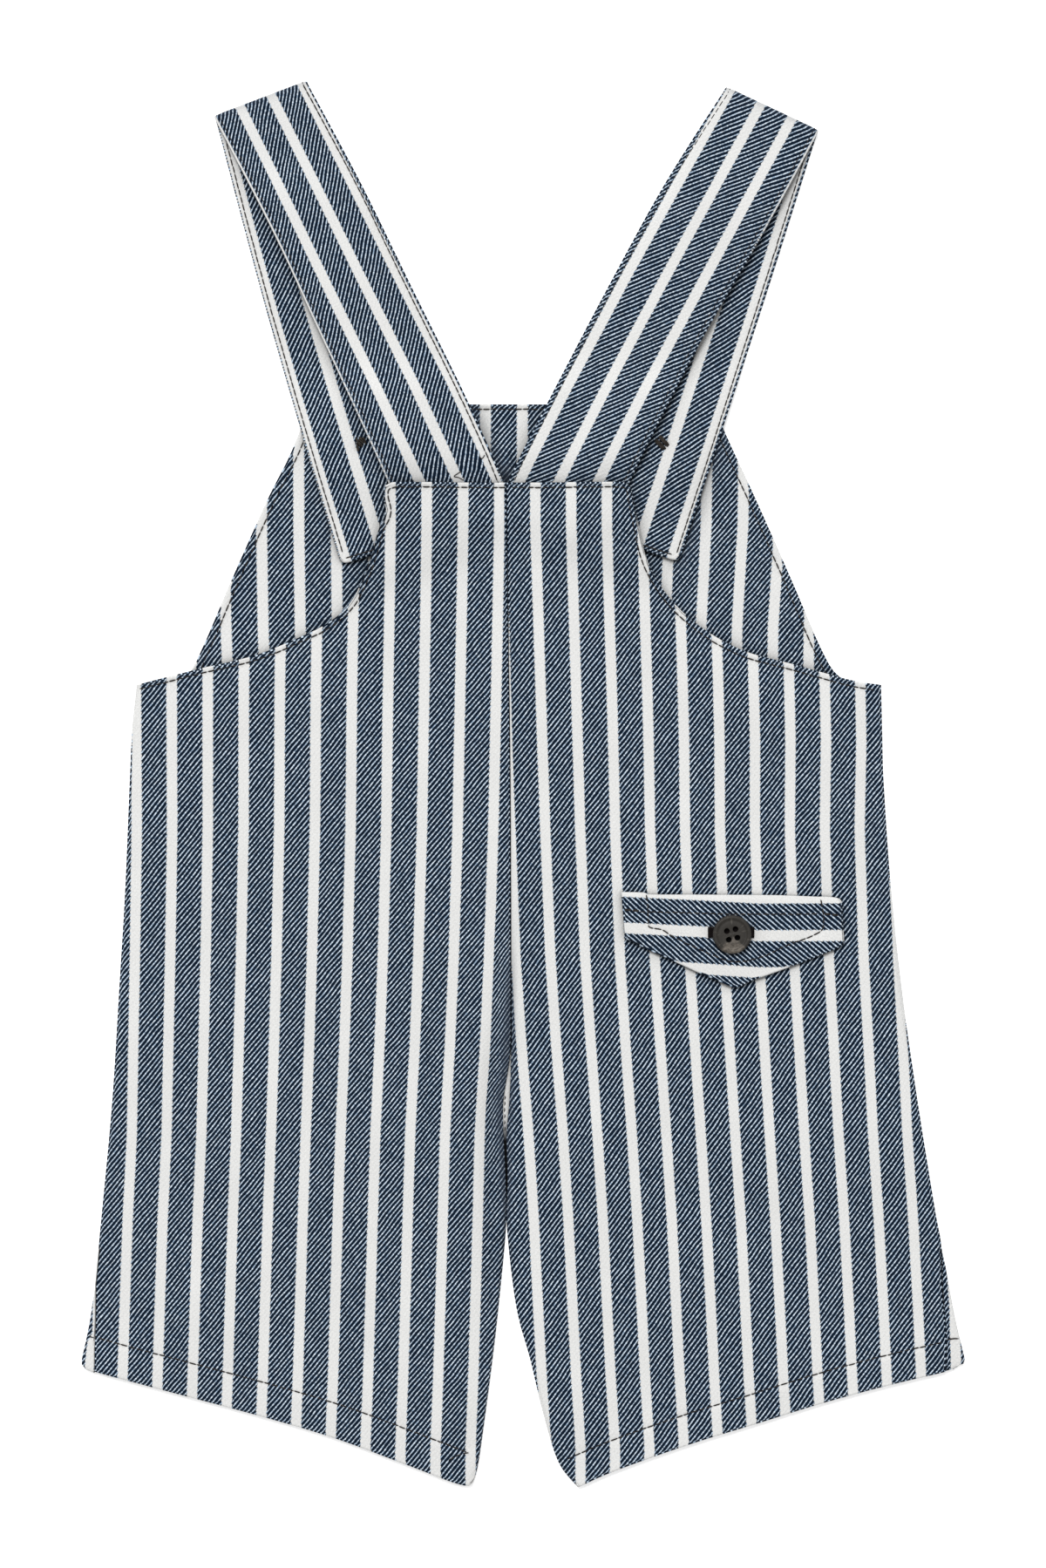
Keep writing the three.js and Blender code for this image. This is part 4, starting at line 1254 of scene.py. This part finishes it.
reach = BUTTON["radius"]
seat = max(flap_surface.height(FLAP_BUTTON[0] + reach * math.cos(a), FLAP_BUTTON[1] + reach * math.sin(a))
           for a in np.linspace(0, 2 * math.pi, 24)) + 0.1
button_piece("pocket_button", FLAP_BUTTON, seat)
for name, at in BIB_BUTTONS.items():
    button_piece(name, at, BUTTON["thickness"], face_up=False)


def sunk(path, grain):
    """A stitch lies high on the white stripes and deeper between the raised lines of the blue ones."""
    turns = grain(path[:, 0], path[:, 1])[:, 0] / STRIPE
    off = np.abs(turns - np.round(turns)) * STRIPE
    path[:, 2] -= 0.14 * ease((off - STRIPE_HALF) / 0.5)
    return path


def sew(name, surface, lines, seed, grain):
    paths = []
    for k, line in enumerate(lines):
        laid = on_surface(surface, line)
        if len(laid) > 4:
            paths += [sunk(path, grain) for path in stitch_paths(laid, seed + k)]
    return threads(name, paths, STITCH["radius"], THREAD)


for side in ("left", "right"):
    bottom, top, outer, inner = backs[side][2]
    hem_line = offset_line(bottom, HEM[side])
    outer_end, second = (hem_line[0], hem_line[1]) if side == "left" else (hem_line[-1], hem_line[-2])
    beyond = outer_end + (outer_end - second) * 3
    hem_line = np.vstack([beyond, hem_line]) if side == "left" else np.vstack([hem_line, beyond])
    top_line = offset_line(top, -TOPSTITCH)
    sew(f"stitching_back_{side}", back_surfaces[side], [hem_line, top_line], 100,
                           lambda x, y, name=f"back_{side}": grain_of(name, x, y))

bib_surface = Surface(bib)
bib_lines = [offset_line(bib_top, -TOPSTITCH), offset_line(bib_left, -BIB_SIDE_STITCH),
             offset_line(bib_right, BIB_SIDE_STITCH)]
sew("stitching_bib", bib_surface, bib_lines, 200, bib_grain)

hidden = {"strap_left": (0,), "strap_right": (0, 2)}  # lines that run on a blue band and sink into it
for k, (name, (piece, band, lines)) in enumerate(straps.items()):
    paths = []
    for m, line in enumerate(lines):
        for path in stitch_paths(line, 300 + 10 * k + m, lift=0.0, sink=0.0):
            path[:, 2] = np.maximum(path[:, 2] - (0.16 if m in hidden[name] else 0.0), 0.27)
            paths.append(path)
    threads(f"stitching_{name}", paths, STITCH["radius"], THREAD)

FLAP_LINE = [(46.2, -40.9), (47.0, -46.0), (47.2, -52.5), (47.9, -54.2), (52.6, -55.2), (56.4, -57.6),
             (68, -63.2), (79.2, -67.2), (90, -65.4), (98.5, -61.4), (104.2, -59.4), (110.4, -56.8),
             (113.2, -54.4), (113.3, -48.6), (112.2, -42.8)]
BARS = [[(37.6, -47.4), (42, -47.9), (46.6, -48.4)], [(113.2, -49.0), (117, -49.4), (121.0, -49.8)]]
flap_lines = [curve(FLAP_LINE)] + [curve([(x, y + dy) for x, y in bar]) for bar in BARS for dy in (0.2, -0.2)]
flap_lines.append(curve([(46.6, -48.3), (80, -49.2), (113.2, -49.2)]))
sew("stitching_flap", flap_surface, flap_lines, 400, flap_grain)
hole = buttonhole(flap_surface)

# The hem stitching goes on over the front cloth, on the stretch that shows beside the side seam.
TURN_STITCHES = {"left": [(-165.4, -209.2), (-164.0, -209.3), (-162.5, -209.8)],
                 "right": [(160.1, -210.6), (161.6, -210.2), (163.4, -210.0), (165.3, -210.2),
                           (165.9, -210.6)]}
for side, line in TURN_STITCHES.items():
    surface = Surface(legs[side][0])
    laid = on_surface(surface, curve(line, 6))
    laid[:, 2] += 0.06
    threads("stitching_front_" + side, [laid], STITCH["radius"], THREAD)

CROTCH_STITCHES = [(-7.0, -118.2), (-7.1, -120.4), (-7.2, -122.8), (-7.1, -125.2), (-7.15, -127.6),
                   (-7.05, -130.0)]
leg_surface = Surface(legs["left"][0])
paths = []
for x, y in CROTCH_STITCHES:
    z = leg_surface.height(x, y) + 0.08
    paths.append([(x, y, z), (x + 0.1, y - 0.7, z + 0.1), (x - 0.1, y - 1.5, z)])
threads("stitching_crotch", paths, 0.21, THREAD)
strap_surfaces = [Surface(straps[name][0]) for name in ("strap_left", "strap_right")]
thread_wads(strap_surfaces)

# Loose ends of thread on the left strap.
LOOSE_ENDS = [[(-16.7, 123.9), (-15.7, 123.0), (-14.6, 124.4)],
              [(-23.6, 118.2), (-26.2, 116.4), (-24.4, 115.9), (-22.6, 114.9)]]
ends = [lifted(strap_surfaces[0], curve(line, 5), 0.16) for line in LOOSE_ENDS]
threads("loose_thread_ends", ends, 0.15, THREAD)


for side in ("left", "right"):
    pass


# Stage.

def make_floor():
    mesh = bpy.data.meshes.new("floor")
    half = 3.0
    corners = [(-half, -half, 0), (half, -half, 0), (half, half, 0), (-half, half, 0)]
    mesh.from_pydata(corners, [], [(0, 1, 2, 3)])
    mesh.materials.append(floor_material())
    add_object("floor", mesh)


def make_light():
    data = bpy.data.lights.new("key", "AREA")
    data.shape = "DISK"
    data.size = KEY["size"]
    data.energy = KEY["power"]
    key = add_object("key", data)
    key.location = KEY["at"]
    key.rotation_euler = Vector(KEY["at"]).to_track_quat("Z", "Y").to_euler()
    world = bpy.data.worlds.new("sky")
    world.use_nodes = True
    background = world.node_tree.nodes["Background"]
    background.inputs[0].default_value = (1, 1, 1, 1)
    background.inputs[1].default_value = SKY
    bpy.context.scene.world = world


def make_camera():
    """Straight above, turned so that the shoulders are at the top, framing exactly the photograph."""
    data = bpy.data.cameras.new("camera")
    data.lens = data.sensor_width * CAMERA_HEIGHT / PHOTO["height"]
    camera = add_object("camera", data)
    camera.location = (PHOTO["centre_x"], 0, CAMERA_HEIGHT + 0.003)
    bpy.context.scene.camera = camera


make_floor()
make_light()
make_camera()
bpy.context.scene.view_settings.view_transform = "Standard"
